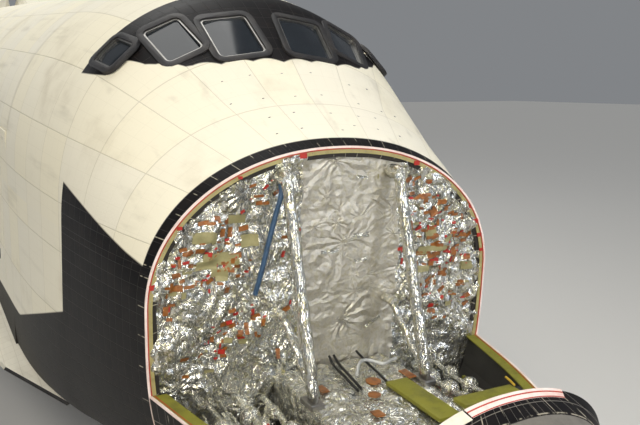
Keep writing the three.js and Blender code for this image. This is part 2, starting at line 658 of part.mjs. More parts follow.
function fin() {
  const rings = [finRoot.water, finTip.water].map((water) => {
    const { lead, chord } = finAt(water);
    const half = halfThickness(water);
    const left = [[0.12, 0.03], [0.5, 0.12], [1, 0.42], [1, 0.6], [0.1, 1]];
    const points = [[0, 0], ...left, ...left.map(([x, y]) => [-x, y]).reverse()];
    return points.map(([x, y]) => at(x * half, lead + y * chord, water));
  });
  const below = prism("side", [[1497, 495], [1575, 563], [1720, 563], [1720, 495]], -30, 30);
  const body = bothWays(fuselageStretch(aftSections, fuselage.bayAft, 1530, -seatGap));
  const whole = cut(loft(rings), below, body, block([-30, 30], [1250, fuselage.bayAft + 1], [490, 540]));
  const low = hingeAt(rudder.bottom - 10);
  const high = hingeAt(rudder.top + 10);
  const groove = rod(low, high, halfThickness(low[2]) * 1.32, 20, halfThickness(high[2]) * 1.32);
  const room = prism(
    "side",
    [
      [hingeAt(rudder.bottom)[1], rudder.bottom],
      [1720, rudder.bottom],
      [1720, rudder.top],
      [hingeAt(rudder.top)[1], rudder.top],
    ],
    -30, 30,
  );
  const grooveOpen = groove.intersect(block([-30, 30], [1200, 1800], [rudder.bottom, rudder.top]));
  const bearings = hole(hingeAt(rudder.bottom - 6), hingeAt(rudder.top + 6), 2);
  put("fin", cut(whole, room, grooveOpen, bearings), "whiteTile");
  const [coneLow, coneHigh] = [low, high].map((p) => halfThickness(p[2]) * 0.88);
  const shaft = rod(hingeAt(rudder.bottom - 5.5), hingeAt(rudder.top + 5.5), 2, 12);
  const [coneFoot, coneTop] = [hingeAt(rudder.bottom + 8), hingeAt(rudder.top - 6)];
  const cone = rod(coneFoot, coneTop, halfThickness(coneFoot[2]) * 0.88, 16, halfThickness(coneTop[2]) * 0.88);
  put("rudder_shaft", join(shaft, cone), "whiteTile");

  const axis = new THREE.Vector3(...at(...high)).sub(new THREE.Vector3(...at(...low))).normalize();
  const aft = new THREE.Vector3(0, axis.z, -axis.y);
  const leafRing = (water) => {
    const centre = new THREE.Vector3(...at(...hingeAt(water)));
    const half = halfThickness(water) * inch * Math.cos(Math.atan2(axis.y, axis.z));
    const chord = finAt(water).chord * (1 - rudder.share) * inch;
    const front = arc(halfThickness(water) * inch, [0, 0], -(90 - rudder.opening - 2), 0, 5);
    const outline = [[0.25 * inch, 0], ...front, [0.06 * half + 0.25 * inch, chord], [0.25 * inch, chord]];
    return outline.map(([x, q]) => {
      const spot = centre.clone().addScaledVector(aft, q);
      return [spot.x + x, spot.y, spot.z];
    });
  };
  const leaf = loft([leafRing(rudder.bottom - 40), leafRing(rudder.top + 30)]);
  const trailing = (water) => finAt(water).lead + finAt(water).chord;
  const [under, over] = [rudder.bottom + rudder.roomBelow, rudder.top - rudder.roomAbove];
  // Ahead of the hinge the leaf's foot is square to the hinge line, so it clears the fin as it turns.
  const square = hingeAt(rudder.bottom + 7);
  const slope = -axis.y / axis.z;
  const squareFoot = (station) => [station, square[2] + slope * (station - square[1])];
  const frame = prism(
    "side",
    [
      squareFoot(1440),
      squareFoot(square[1] + (under - square[2]) / slope),
      [trailing(under), under],
      [trailing(over), over],
      [1540, over],
    ],
    -30, 30,
  );
  const shaftRoom = hole(hingeAt(rudder.bottom - 6), hingeAt(rudder.top + 6), 2);
  const coneRoom = hole(low, high, coneLow, 16, coneHigh);
  putPair("rudder_leaf", cut(leaf.intersect(frame), shaftRoom, coneRoom), "whiteTile");
}

// Wings and elevons.

// Columns: side, station of the leading edge, lower surface, greatest thickness, thickness at the hinge.
const wingSections = [
  [88, 498, 271.5, 46, 32],
  [112, 560, 272.5, 44, 31],
  [186, 1012, 278, 36, 24],
  [222, 1072, 281, 33, 21],
  [345, 1187, 289, 22, 15],
  [450, 1291, 296, 13.5, 9.5],
  [466, 1316, 298, 10, 8],
];
const trailingStation = (side) => 1447 + (468 - side) * Math.tan(THREE.MathUtils.degToRad(10.06));
const elevonNose = (side) => wingRow(side)[4] / 2;
const wingRow = (side) => between(wingSections, side);

// Columns: share of the way from the leading edge to the hinge, share of the thickness above, and below.
const wingProfile = [
  [0, 0.2, 0.2],
  [0.012, 0.42, 0.07],
  [0.05, 0.58, 0.02],
  [0.16, 0.76, 0],
  [0.4, 0.96, 0],
  [0.65, 1, 0],
];

function wingRing(side) {
  const [, lead, low, thick, hingeThick] = wingRow(side);
  const length = hinge.elevonStation - lead;
  const front = Math.min(1, 230 / length) ** 0.5;
  const fullness = (x) => (x < 0.3 ? front + (1 - front) * x : 1);
  const spotAt = (x, share) => at(side, lead + length * x, low + thick * share);
  const upper = wingProfile.slice(1).map(([x, up]) => spotAt(x, up * fullness(x)));
  const lower = wingProfile.slice(1).map(([x, , down]) => spotAt(x, down));
  const rear = [
    at(side, hinge.elevonStation - 8, low + (thick - hingeThick) * 0.25 + hingeThick),
    at(side, hinge.elevonStation, low + (thick - hingeThick) * 0.2 + hingeThick),
    at(side, hinge.elevonStation, low + (thick - hingeThick) * 0.2),
    at(side, hinge.elevonStation - 8, low + (thick - hingeThick) * 0.18),
  ];
  return [at(side, lead, low + thick * 0.2), ...upper, ...rear, ...lower.reverse()];
}

const hingeWater = (side) => {
  const [, , low, thick, hingeThick] = wingRow(side);
  return low + (thick - hingeThick) * 0.2 + hingeThick / 2;
};
const elevons = [
  ["inboard", 119, 311],
  ["outboard", 315, 462],
];

// Two spots on an elevon's straight hinge line.
function hingeLine([, inner, outer], from, to) {
  const slope = (hingeWater(outer) - hingeWater(inner)) / (outer - inner);
  return [from, to].map((side) => [side, hinge.elevonStation, hingeWater(inner) + slope * (side - inner)]);
}

function wing() {
  const whole = loft(wingSections.map(([side]) => wingRing(side)));
  const bodies = [
    bothWays(fuselageStretch(noseSections, 480, fuselage.cabinAft, -seatGap)),
    block([-104, bay.halfWidth + seatGap], [fuselage.cabinAft - 1, fuselage.bayAft + 1], [260, 520]),
    bothWays(fuselageStretch(aftSections, fuselage.bayAft, 1530, -seatGap)),
    ...tankPads(0.03),
  ];
  const grooves = elevons.map((elevon) => {
    const [, from, to] = elevon;
    const [a, b] = hingeLine(elevon, from - 1.5, to + 1.5);
    return rod(a, b, elevonNose(from) * 1.2, 16, elevonNose(to) * 1.2);
  });
  const { fore, aft, inner, outer, top } = mainWell;
  const well = block([inner, outer], [fore, aft], [250, top]);
  const leadAt = (side, back) => [side, wingRow(side)[1] + back];
  const edgeLine = (back, start) =>
    [start, 186, 222, 345, 450, 462].map((side) => leadAt(side, back * (side < 200 ? 2.6 : 1)));
  const ahead = (back, start) =>
    prism("water", [[start, 600], ...edgeLine(back, start), [470, 1315 + back], [470, 600]], 250, 340);
  const body = cut(whole, bodies, well);
  const lugs = elevons.flatMap((elevon) =>
    [0.25, 0.75].flatMap((share) => {
      const side = elevon[1] + share * (elevon[2] - elevon[1]);
      const [a, b] = hingeLine(elevon, side - 4, side + 4);
      const water = (a[2] + b[2]) / 2;
      const neck = block([side - 1.5, side + 1.5], [1368, hinge.elevonStation], [water - 2.2, water + 2.2]);
      return [neck, rod(a, b, 1.2, 10)];
    }),
  );
  putPair("wing", join(cut(body, ahead(11.03, 132 - seatGap), grooves), lugs), "whiteTile");
  putPair("wing_edge", body.intersect(ahead(11, 132)), "greyCarbon");
  elevons.forEach((elevon) => {
    const [name, from, to] = elevon;
    const rings = [from, to].map((side) => {
      const nose = elevonNose(side);
      const [station, water] = [hinge.elevonStation, hingeWater(side)];
      const outline = [
        ...arc(nose, [station, water], 90, 270, 8),
        [trailingStation(side), water - nose * 0.15],
        [trailingStation(side), water - nose * 0.15 + 1.6],
      ];
      return outline.map(([y, z]) => at(side, y, z));
    });
    const slots = [0.25, 0.75].flatMap((share) => {
      const side = from + share * (to - from);
      const [a, b] = hingeLine(elevon, side - 1.8, side + 1.8);
      const [c, d] = hingeLine(elevon, side - 4.3, side + 4.3);
      return [rod(a, b, elevonNose(from) * 1.1, 12), hole(c, d, 1.2, 10)];
    });
    putPair("elevon_" + name, cut(loft(rings), slots), "whiteTile");
  });
}

// Landing gear

const groundWater = (station) => mainGear.ground + (mainGear.station - station) * Math.tan(tilt);

function wheel(side, station, radius, width, rimRadius, axleRadius) {
  const flat = radius * Math.cos(Math.PI / tyreSides);
  const water = groundWater(station) + flat / Math.cos(tilt);
  const half = width / 2;
  const hub = axleRadius + bore;
  const profile = [
    [hub, -half * 0.45], [rimRadius, -half * 0.8], [radius * 0.82, -half], [radius, -half * 0.55],
    [radius, half * 0.55], [radius * 0.82, half], [rimRadius, half * 0.8], [hub, half * 0.45],
    [hub, -half * 0.45],
  ];
  // The turned profile's first side lies on -Z when its axis is +X; half a side more sets a flat on the ground.
  const made = turned(profile, [side, station, water], [1, 0, 0], tyreSides, Math.PI / tyreSides + tilt);
  return { made, water };
}

function gear() {
  const { side, station, tyreRadius, tyreWidth, wheelOffset } = mainGear;
  const axleRadius = 3;
  const inner = wheel(side - wheelOffset, station, tyreRadius, tyreWidth, 11, axleRadius);
  const outer = wheel(side + wheelOffset, station, tyreRadius, tyreWidth, 11, axleRadius);
  putPair("main_wheel_inner", inner.made, "rubber");
  putPair("main_wheel_outer", outer.made, "rubber");
  const axle = inner.water;
  const reach = wheelOffset + 5;
  const leg = join(
    rod([side, station, mainWell.top + 1], [side, station, 238], 6, 12),
    rod([side, station, 239], [side, station, axle], 4.3, 10),
    rod([side - reach, station, axle], [side + reach, station, axle], axleRadius - 0.01, tyreSides),
    rod([side - 7, station, axle], [side + 7, station, axle], 5.2, 10),
    rod([side, station, 250], [side, station - 56, mainWell.top], 2.6, 10),
    rod([side - 20, station, 298], [side + 20, station, 298], 4, 10),
    rod([side, station - 6, 242], [side, station - 6, axle + 3], 1.5, 8),
    block([side - 2, side + 2], [station - 7.5, station], [240, 244]),
    block([side - 2, side + 2], [station - 7.5, station], [axle + 1, axle + 5]),
  );
  const { fore, aft, top } = mainWell;
  const underWell = block([100, 180], [fore + 1, aft], [150, top - seatGap]);
  putPair("main_gear_leg", leg.intersect(underWell), "gearMetal");
  const hang = mainWell.outer - seatGap;
  putPair("main_gear_door", block([hang - 2.4, hang], [fore + 1, aft - 1], [232, 292]), "blackTile");

  const nose = noseGear;
  const noseAxle = 2.2;
  const half = wheel(nose.wheelOffset, nose.station, nose.tyreRadius, nose.tyreWidth, 8, noseAxle);
  putPair("nose_wheel", half.made, "rubber");
  const low = half.water;
  const noseReach = nose.wheelOffset + 3.6;
  put(
    "nose_gear_leg",
    join(
      rod([0, nose.station, noseWell.top + 1], [0, nose.station, 250], 4.8, 12),
      rod([-noseWell.halfWidth + 0.1, nose.station, 303], [noseWell.halfWidth - 0.1, nose.station, 303], 3, 12),
      rod([0, nose.station - 3, 262], [0, nose.station - 52, noseWell.top], 2.2, 12),
    ).intersect(block([-30, 30], [280, 380], [240, noseWell.top - seatGap])),
    "gearMetal",
  );
  put(
    "nose_gear_fork",
    join(
      rod([0, nose.station, 250 - seatGap], [0, nose.station, 243], 5.4, 16),
      rod([0, nose.station, 244], [0, nose.station, low], 3.4, 16),
      rod([-noseReach, nose.station, low], [noseReach, nose.station, low], noseAxle - 0.01, tyreSides),
      rod([-5, nose.station, low], [5, nose.station, low], 3.6, 16),
    ),
    "gearMetal",
  );
  const edge = noseWell.halfWidth - seatGap;
  const door = block([edge - 1.6, edge], [noseWell.fore + 1, noseWell.aft - 1], [258, 297]);
  putPair("nose_gear_door", door, "blackTile");
}

noseCap();
noseShell();
bulkheads();
cabin();
flightDeck();
midFuselage();
aftFuselage();
bodyFlap();
pods();
mainEngines();
fin();
wing();
gear();

// The origin is on the ground under the middle of the craft's box.
craft.updateMatrixWorld(true);
const box = new THREE.Box3().setFromObject(craft, true);
craft.position.set(0, -(box.min.y + box.max.y) / 2, -box.min.z);

export default root;
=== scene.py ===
import bpy
import json
import math
import random
from mathutils import Matrix, Vector, noise


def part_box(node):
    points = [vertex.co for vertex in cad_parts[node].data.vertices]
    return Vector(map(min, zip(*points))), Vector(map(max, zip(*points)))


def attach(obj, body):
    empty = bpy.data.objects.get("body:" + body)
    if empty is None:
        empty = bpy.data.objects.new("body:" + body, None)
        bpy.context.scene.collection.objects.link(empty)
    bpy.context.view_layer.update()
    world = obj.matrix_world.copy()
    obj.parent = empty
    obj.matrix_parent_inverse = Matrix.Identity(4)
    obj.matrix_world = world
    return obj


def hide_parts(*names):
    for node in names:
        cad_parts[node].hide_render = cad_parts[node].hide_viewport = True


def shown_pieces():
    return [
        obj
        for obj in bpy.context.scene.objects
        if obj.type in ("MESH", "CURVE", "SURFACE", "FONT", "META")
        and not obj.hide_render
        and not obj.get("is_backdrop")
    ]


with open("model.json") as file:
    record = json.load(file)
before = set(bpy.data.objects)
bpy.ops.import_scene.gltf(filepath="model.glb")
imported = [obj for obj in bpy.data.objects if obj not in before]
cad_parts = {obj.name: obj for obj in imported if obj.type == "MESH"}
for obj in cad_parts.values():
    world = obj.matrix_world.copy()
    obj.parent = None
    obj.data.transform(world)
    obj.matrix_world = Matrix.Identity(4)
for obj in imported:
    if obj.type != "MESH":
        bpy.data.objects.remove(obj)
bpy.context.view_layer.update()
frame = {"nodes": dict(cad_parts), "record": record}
nodes = frame["nodes"]
print("frame loaded:", len(nodes), "nodes")

# The craft's own drawing places: side (left is plus), station (aft) and water (up), in inches.
# The craft stands nose down, so these turn and shift into metres on the floor.
craft = {
    "inch": 0.0254, "station": 970, "water": 270, "noseDown": 3.4, "knownMount": "tank_fore", "knownAt": (0, 391, 275),
}
lean = Matrix.Rotation(math.radians(craft["noseDown"]), 4, "X")


def unshifted(side, station, water):
    inch = craft["inch"]
    return lean @ Vector((side * inch, (station - craft["station"]) * inch, (water - craft["water"]) * inch))


mounts = {mount["name"]: Vector(mount["pos_m"]) for mount in frame["record"]["mounts"]}
shift = mounts[craft["knownMount"]] - unshifted(*craft["knownAt"])


def at(side, station, water):
    return unshifted(side, station, water) + shift


def along(side, station, water):
    return lean.to_3x3() @ Vector((side, station, water))


# The nose's outline. Columns: station, half width, top, widest, bottom, roundness above, roundness below.
noseRows = [
    (238.5, 4, 343, 339.5, 336, 2, 2),
    (241, 12.5, 350, 339, 327.5, 2, 2),
    (246, 21.5, 355.5, 339.3, 318.5, 2, 2),
    (252, 28.5, 359.2, 340, 311.5, 2, 2.05),
    (259.5, 35.5, 362.8, 341, 305, 2.05, 2.1),
    (268, 42.8, 367, 342, 299.5, 2.1, 2.2),
    (278, 49.5, 372.3, 344, 295.5, 2.12, 2.35),
    (300, 60, 384.8, 350, 289.5, 2.15, 2.6),
    (338, 73.5, 407, 360, 282.5, 2.15, 2.9),
    (378, 82.5, 430, 369, 278, 2.12, 3.2),
    (414, 89.6, 449, 377.6, 275, 2.18, 3.7),
    (464, 96.6, 488, 389, 272.4, 2.2, 5),
    (482, 98.5, 494.5, 392, 271.7, 2.1, 6),
    (515, 101, 500, 397, 270.8, 2.04, 8),
    (550, 102.5, 502.5, 400, 270.2, 2, 11),
    (582, 103, 503, 400, 270, 2, 14),
]


def hullRow(station):
    if station <= noseRows[0][0]:
        return noseRows[0][1:]
    for low, high in zip(noseRows, noseRows[1:]):
        if station <= high[0]:
            share = (station - low[0]) / (high[0] - low[0])
            return [a + share * (b - a) for a, b in zip(low[1:], high[1:])]
    return noseRows[-1][1:]


def power(value, roundness):
    return math.copysign(abs(value) ** (2 / roundness), value)


# A spot on an outline row: degrees turn from the craft's left over the top; lift stands it off the skin.
def ringSpot(row, station, degrees, lift):
    half, top, widest, bottom, above, below = row
    angle = math.radians(degrees)
    upper = math.sin(angle) >= 0
    roundness = above if upper else below
    height = (top - widest if upper else widest - bottom) + lift
    side = (half + lift) * power(math.cos(angle), roundness)
    return (side, station, widest + height * power(math.sin(angle), roundness))


def hullSpot(station, degrees):
    return ringSpot(hullRow(station), station, degrees, 0.0)


# Modelling helpers

def nothingSelected():
    if bpy.context.object and bpy.context.object.mode != "OBJECT":
        bpy.ops.object.mode_set(mode="OBJECT")
    bpy.ops.object.select_all(action="DESELECT")


def only(piece):
    nothingSelected()
    piece.select_set(True)
    bpy.context.view_layer.objects.active = piece


def modify(piece, kind, **settings):
    only(piece)
    modifier = piece.modifiers.new(kind.title(), kind)
    for key, value in settings.items():
        setattr(modifier, key, value)
    bpy.ops.object.modifier_apply(modifier=modifier.name)


def tidyNormals(piece, merge=0.0004):
    only(piece)
    bpy.ops.object.mode_set(mode="EDIT")
    bpy.ops.mesh.select_all(action="SELECT")
    bpy.ops.mesh.remove_doubles(threshold=merge)
    bpy.ops.mesh.normals_make_consistent(inside=False)
    bpy.ops.object.mode_set(mode="OBJECT")


def smooth(piece, degrees=35):
    only(piece)
    bpy.ops.object.shade_smooth_by_angle(angle=math.radians(degrees))


def dress(piece, material, body="airframe"):
    piece.data.materials.clear()
    piece.data.materials.append(material)
    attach(piece, body)
    return piece


def joined(pieces, name):
    nothingSelected()
    for piece in pieces:
        piece.select_set(True)
    bpy.context.view_layer.objects.active = pieces[0]
    if len(pieces) > 1:
        bpy.ops.object.join()
    pieces[0].name = name
    pieces[0].data.name = name
    return pieces[0]


# Joins parts into one finished piece; with no degrees their shading stays.
def assemble(parts, name, finish, degrees=40, body="airframe"):
    piece = joined(parts, name)
    if degrees:
        smooth(piece, degrees)
    return dress(piece, look[finish], body)


# A place along a closed loop of corners, for a share from 0 to 1.
def alongLoop(corners, share):
    place = share * (len(corners) - 1)
    index = min(int(place), len(corners) - 2)
    (a, b), (c, d) = corners[index], corners[index + 1]
    return a + (place - index) * (c - a), b + (place - index) * (d - b)


# A grid bent over a surface: spotAt(u, v) gives a craft place for u and v from 0 to 1.
def bentGrid(name, spotAt, across, down):
    nothingSelected()
    bpy.ops.mesh.primitive_grid_add(x_subdivisions=across, y_subdivisions=down, size=1)
    piece = bpy.context.object
    piece.name = name
    for vertex in piece.data.vertices:
        vertex.co = at(*spotAt(vertex.co.x + 0.5, vertex.co.y + 0.5))
    return piece


# A box with rounded edges between two craft corners.
def roundedBox(name, low, high, bevel=0.3, segments=2):
    nothingSelected()
    inch = craft["inch"]
    middle = [(a + b) / 2 for a, b in zip(low, high)]
    bpy.ops.mesh.primitive_cube_add(size=1, location=at(*middle), rotation=lean.to_euler())
    piece = bpy.context.object
    piece.name = name
    piece.scale = [abs(b - a) * inch for a, b in zip(low, high)]
    bpy.ops.object.transform_apply(location=True, rotation=True, scale=True)
    if bevel:
        modify(piece, "BEVEL", width=bevel * inch, segments=segments, limit_method="NONE")
    return piece


# A tube along craft places: a soft curve through them, or straight runs between them.
def tube(name, places, radius, sides=10, curved=True):
    nothingSelected()
    bpy.ops.curve.primitive_bezier_curve_add()
    piece = bpy.context.object
    piece.name = name
    piece.matrix_world = Matrix.Identity(4)
    curve = piece.data
    curve.splines.clear()
    spline = curve.splines.new("BEZIER" if curved else "POLY")
    points = spline.bezier_points if curved else spline.points
    points.add(len(places) - 1)
    for point, place in zip(points, places):
        if curved:
            point.co = at(*place)
            point.handle_left_type = point.handle_right_type = "AUTO"
        else:
            point.co = (*at(*place), 1)
    curve.dimensions = "3D"
    curve.bevel_depth = radius * craft["inch"]
    curve.bevel_resolution = max(1, sides // 4 - 1)
    curve.resolution_u = 8
    curve.use_fill_caps = True
    only(piece)
    bpy.ops.object.convert(target="MESH")
    piece = bpy.context.object
    bpy.ops.object.shade_smooth_by_angle(angle=math.radians(50))
    return piece


# A profile of (radius, distance) spun round a line through a craft place, in inches.
def spun(name, profile, centre, way, steps=48):
    nothingSelected()
    inch = craft["inch"]
    bpy.ops.mesh.primitive_circle_add(vertices=steps, radius=profile[0][0] * inch, fill_type="NOTHING")
    piece = bpy.context.object
    piece.name = name
    bpy.ops.object.mode_set(mode="EDIT")
    for (last, low), (radius, high) in zip(profile, profile[1:]):
        bpy.ops.mesh.extrude_region_move(TRANSFORM_OT_translate={"value": (0, 0, (high - low) * inch)})
        share = radius / last
        here = Vector((0, 0, (high - profile[0][1]) * inch))
        bpy.ops.transform.resize(value=(share, share, 1), center_override=here)
    bpy.ops.object.mode_set(mode="OBJECT")
    turn = Vector((0, 0, 1)).rotation_difference(along(*way)).to_matrix().to_4x4()
    start = at(*[c + w * profile[0][1] for c, w in zip(centre, Vector(way).normalized())])
    piece.data.transform(Matrix.Translation(start) @ turn)
    tidyNormals(piece)
    smooth(piece, 40)
    return piece

# Shader helpers

# A value in a shader tree: sums and products of such values add Math nodes.
class Wire:
    def __init__(self, tree, socket):
        self.tree, self.socket = tree, socket

    def __add__(self, other):
        return calc("ADD", self, other)

    def __radd__(self, other):
        return calc("ADD", other, self)

    def __sub__(self, other):
        return calc("SUBTRACT", self, other)

    def __rsub__(self, other):
        return calc("SUBTRACT", other, self)

    def __mul__(self, other):
        return calc("MULTIPLY", self, other)

    def __rmul__(self, other):
        return calc("MULTIPLY", other, self)

    def __truediv__(self, other):
        return calc("DIVIDE", self, other)

    def __rtruediv__(self, other):
        return calc("DIVIDE", other, self)


# A node whose outputs are read as such values.
class Wires:
    def __init__(self, tree, node):
        self.tree, self.node = tree, node

    def __getitem__(self, key):
        return Wire(self.tree, self.node.outputs[key])


def treeOf(values):
    return next(value.tree for value in values if isinstance(value, Wire))


def give(socket, value):
    if isinstance(value, Wire):
        value.tree.links.new(value.socket, socket)
    else:
        socket.default_value = value


def add(tree, kind, feeds=None, **settings):
    made = tree.nodes.new("ShaderNode" + kind)
    for key, value in settings.items():
        setattr(made, key, value)
    for key, value in (feeds or {}).items():
        give(made.inputs[key], value)
    return Wires(tree, made)


def calc(operation, *values):
    return add(treeOf(values), "Math", dict(enumerate(values)), operation=operation)[0]


def vectorCalc(operation, *values, output=0):
    return add(treeOf(values), "VectorMath", dict(enumerate(values)), operation=operation)[output]


def noiseOver(place, scale, **feeds):
    return add(place.tree, "TexNoise", {"Vector": place, "Scale": scale, **feeds})


def rising(value, low, high):
    feeds = {"Value": value, "From Min": low, "From Max": high}
    return add(value.tree, "MapRange", feeds, interpolation_type="SMOOTHSTEP")["Result"]


def mixed(share, first, second):
    values = (share, first, second)
    return add(treeOf(values), "Mix", dict(zip((0, 6, 7), values)), data_type="RGBA")[2]


# Lays tints over a paint, one after another. Columns: share, tint.
def layered(paint, layers):
    for share, tint in layers:
        paint = mixed(share, paint, tint)
    return paint


def ramped(value, stops):
    made = add(value.tree, "ValToRGB", {"Fac": value})
    elements = made.node.color_ramp.elements
    while len(elements) < len(stops):
        elements.new(0.5)
    for element, (place, tint) in zip(elements, stops):
        element.position = place
        element.color = tint
    return made["Color"]


def tone(code):
    parts = [int(code[i:i + 2], 16) / 255 for i in (0, 2, 4)]
    return (*[((c + 0.055) / 1.055) ** 2.4 if c > 0.04 else c / 12.92 for c in parts], 1)


def newGroup(name, takes, gives):
    group = bpy.data.node_groups.new(name, "ShaderNodeTree")
    for label, kind, value in takes:
        socket = group.interface.new_socket(name=label, in_out="INPUT", socket_type="NodeSocket" + kind)
        if value is not None:
            socket.default_value = value
    for label in gives:
        kind = "Vector" if label == "Craft" else "Float"
        group.interface.new_socket(name=label, in_out="OUTPUT", socket_type="NodeSocket" + kind)
    return group, Wires(group, group.nodes.new("NodeGroupInput")), group.nodes.new("NodeGroupOutput").inputs


def use(tree, name, **feeds):
    made = tree.nodes.new("ShaderNodeGroup")
    made.node_tree = groups[name]
    for key, value in feeds.items():
        give(made.inputs[key], value)
    return Wires(tree, made)


# Object coordinates turned back into the craft's own side, station and water.
def makeCraftPlace():
    group, takes, gives = newGroup("craftPlace", [("Place", "Vector", None)], ["Side", "Station", "Water", "Craft"])
    feeds = {
        "Vector": takes["Place"], "Location": shift, "Rotation": (math.radians(craft["noseDown"]), 0, 0),
        "Scale": (craft["inch"], craft["inch"], craft["inch"]),
    }
    back = add(group, "Mapping", feeds, vector_type="TEXTURE")[0]
    moved = vectorCalc("ADD", back, (0, craft["station"], craft["water"]))
    split = add(group, "SeparateXYZ", {0: moved})
    for label, axis in (("Side", "X"), ("Station", "Y"), ("Water", "Z")):
        give(gives[label], split[axis])
    give(gives["Craft"], moved)
    return group


# Square tiles: Joint is 1 in the gaps, Shade is one random value for each tile.
def makeTileGrid():
    takes = [("Across", "Float", 0.0), ("Up", "Float", 0.0), ("Size", "Float", 6.0), ("Gap", "Float", 0.02)]
    group, takes, gives = newGroup("tileGrid", takes, ["Joint", "Shade"])
    ways = [takes[label] / takes["Size"] for label in ("Across", "Up")]
    gaps = []
    for way in ways:
        part = calc("FRACT", way)
        gaps.append(calc("MINIMUM", part, 1.0 - part))
    give(gives["Joint"], 1.0 - rising(calc("MINIMUM", *gaps), 0.0, takes["Gap"]))
    corner = add(group, "CombineXYZ", {"X": calc("FLOOR", ways[0]), "Y": calc("FLOOR", ways[1])})[0]
    give(gives["Shade"], add(group, "TexWhiteNoise", {"Vector": corner}, noise_dimensions="2D")["Value"])
    return group


# Weathering: broad clouds, fine specks, and streaks that run aft. On the foil the specks also place painted
# reflections.
def makeGrimeAndReflection():
    takes = [("Craft", "Vector", None), ("Size", "Float", 40.0)]
    group, takes, gives = newGroup("grimeAndReflection", takes, ["Cloud", "Speck", "Streak"])
    place, scale = takes["Craft"], 1.0 / takes["Size"]
    drawn = vectorCalc("MULTIPLY", place, (1.0, 0.09, 1.0))
    give(gives["Cloud"], noiseOver(place, scale, Detail=6.0, Roughness=0.6)["Fac"])
    give(gives["Speck"], noiseOver(place, scale * 14.0, Detail=3.0)["Fac"])
    give(gives["Streak"], noiseOver(drawn, scale * 5.0, Detail=4.0)["Fac"])
    return group


# Crushed foil: folds that fan out from points, and small facets that tilt at random. The fold output marks the ridges,
# which the foil darkens as painted shade.
# Columns: how much finer than the foil's size, folds round a point, weight.
foldLook = {"fans": [(0.5, 13, 1.0), (1.3, 9, 0.7)], "facets": [(2.4, 0.42), (5.0, 0.16)]}


def makeCrumple():
    takes = [("Craft", "Vector", None), ("Size", "Float", 6.0), ("Tilt", "Float", 0.7)]
    group, takes, gives = newGroup("crumple", takes, ["Height", "FoldShade"])
    scale, half = 1.0 / takes["Size"], (0.5, 0.5, 0.5)
    warp = vectorCalc("SUBTRACT", noiseOver(takes["Craft"], scale, Detail=3.0, Roughness=0.6)["Color"], half)
    push = add(group, "VectorMath", {0: warp, "Scale": takes["Size"] * 0.8}, operation="SCALE")[0]
    bent = vectorCalc("ADD", takes["Craft"], push)
    total = ridges = 0.0
    for finer, folds, weight in foldLook["fans"]:
        feeds = {"Vector": bent, "Scale": scale * finer}
        away = vectorCalc("SUBTRACT", bent, add(group, "TexVoronoi", feeds, feature="F1")["Position"])
        edge = add(group, "TexVoronoi", feeds, feature="DISTANCE_TO_EDGE")["Distance"]
        part = add(group, "SeparateXYZ", {0: away})
        angle = calc("ARCTAN2", part["Z"] + part["Y"] * 0.4, part["X"] - part["Y"] * 0.3)
        wave = calc("PINGPONG", angle * (folds / (2 * math.pi)), 0.5)
        reach, calm = vectorCalc("LENGTH", away, output="Value"), rising(edge, 0.0, 0.16)
        total = total + wave * reach * (calm * (weight * 6.28 / folds))
        ridges = ridges + rising(wave, 0.4, 0.5) * (weight * 0.5)
    for finer, weight in foldLook["facets"]:
        cells = add(group, "TexVoronoi", {"Vector": bent, "Scale": scale * finer}, feature="F1")
        away = vectorCalc("SUBTRACT", bent, cells["Position"])
        slope = vectorCalc("SUBTRACT", cells["Color"], half)
        total = total + vectorCalc("DOT_PRODUCT", away, slope, output="Value") * weight
    give(gives["Height"], total * takes["Tilt"])
    give(gives["FoldShade"], ridges)
    return group


groups = {"craft": makeCraftPlace(), "tiles": makeTileGrid(), "grimeAndReflection": makeGrimeAndReflection(), "crumple": makeCrumple()}


def newMaterial(name, roughness=0.6, metallic=0.0, coat=0.0):
    material = bpy.data.materials.new(name)
    material.use_nodes = True
    tree = material.node_tree
    inputs = tree.nodes["Principled BSDF"].inputs
    inputs["Roughness"].default_value = roughness
    inputs["Metallic"].default_value = metallic
    inputs["Coat Weight"].default_value = coat
    return material, tree, inputs, use(tree, "craft", Place=add(tree, "TexCoord")["Object"])


def bumped(inputs, height, strength, distance):
    feeds = {"Height": height, "Strength": strength, "Distance": distance * craft["inch"]}
    give(inputs["Normal"], add(height.tree, "Bump", feeds)[0])


# The hull's black and white line. Columns: station, height in water.
boundaryRows = [
    (378, 385.5), (395, 389), (414, 394), (435, 400), (459.5, 407), (461.5, 345), (560, 312), (1000, 296), (1530, 292),
]
# Where the black surround of the windows starts. Columns: distance from the middle, station.
surroundRows = [(0, 430.5), (29, 432.5), (42, 435.5), (56, 444), (66, 455), (80, 462), (100, 470)]
hullTint = {
    "white": tone("e4dfcf"), "cream": tone("efe6c6"), "gap": tone("b4ac98"), "stain": tone("a89c84"),
    "drip": tone("8d8574"),
    "black": tone("0e0d0f"), "blackOdd": tone("171516"), "blackWorn": tone("241d1a"), "blackGap": tone("34312e"),
    "noseGap": tone("8a857d"), "rimGap": tone("b0a998"),
}
hullSize = {"tile": 6.0, "blanket": 29.0, "whiteTile": 8.0, "rimTile": 13.0, "rimTo": 383.2, "grimeAndReflection": 46.0}


def boundaryHeight(station):
    first, last = boundaryRows[0][0], boundaryRows[-1][0]
    low, tall = 270.0, 240.0
    stops = [((place - first) / (last - first), (*[(water - low) / tall] * 3, 1)) for place, water in boundaryRows]
    return ramped((station - float(first)) / float(last - first), stops) * tall + low


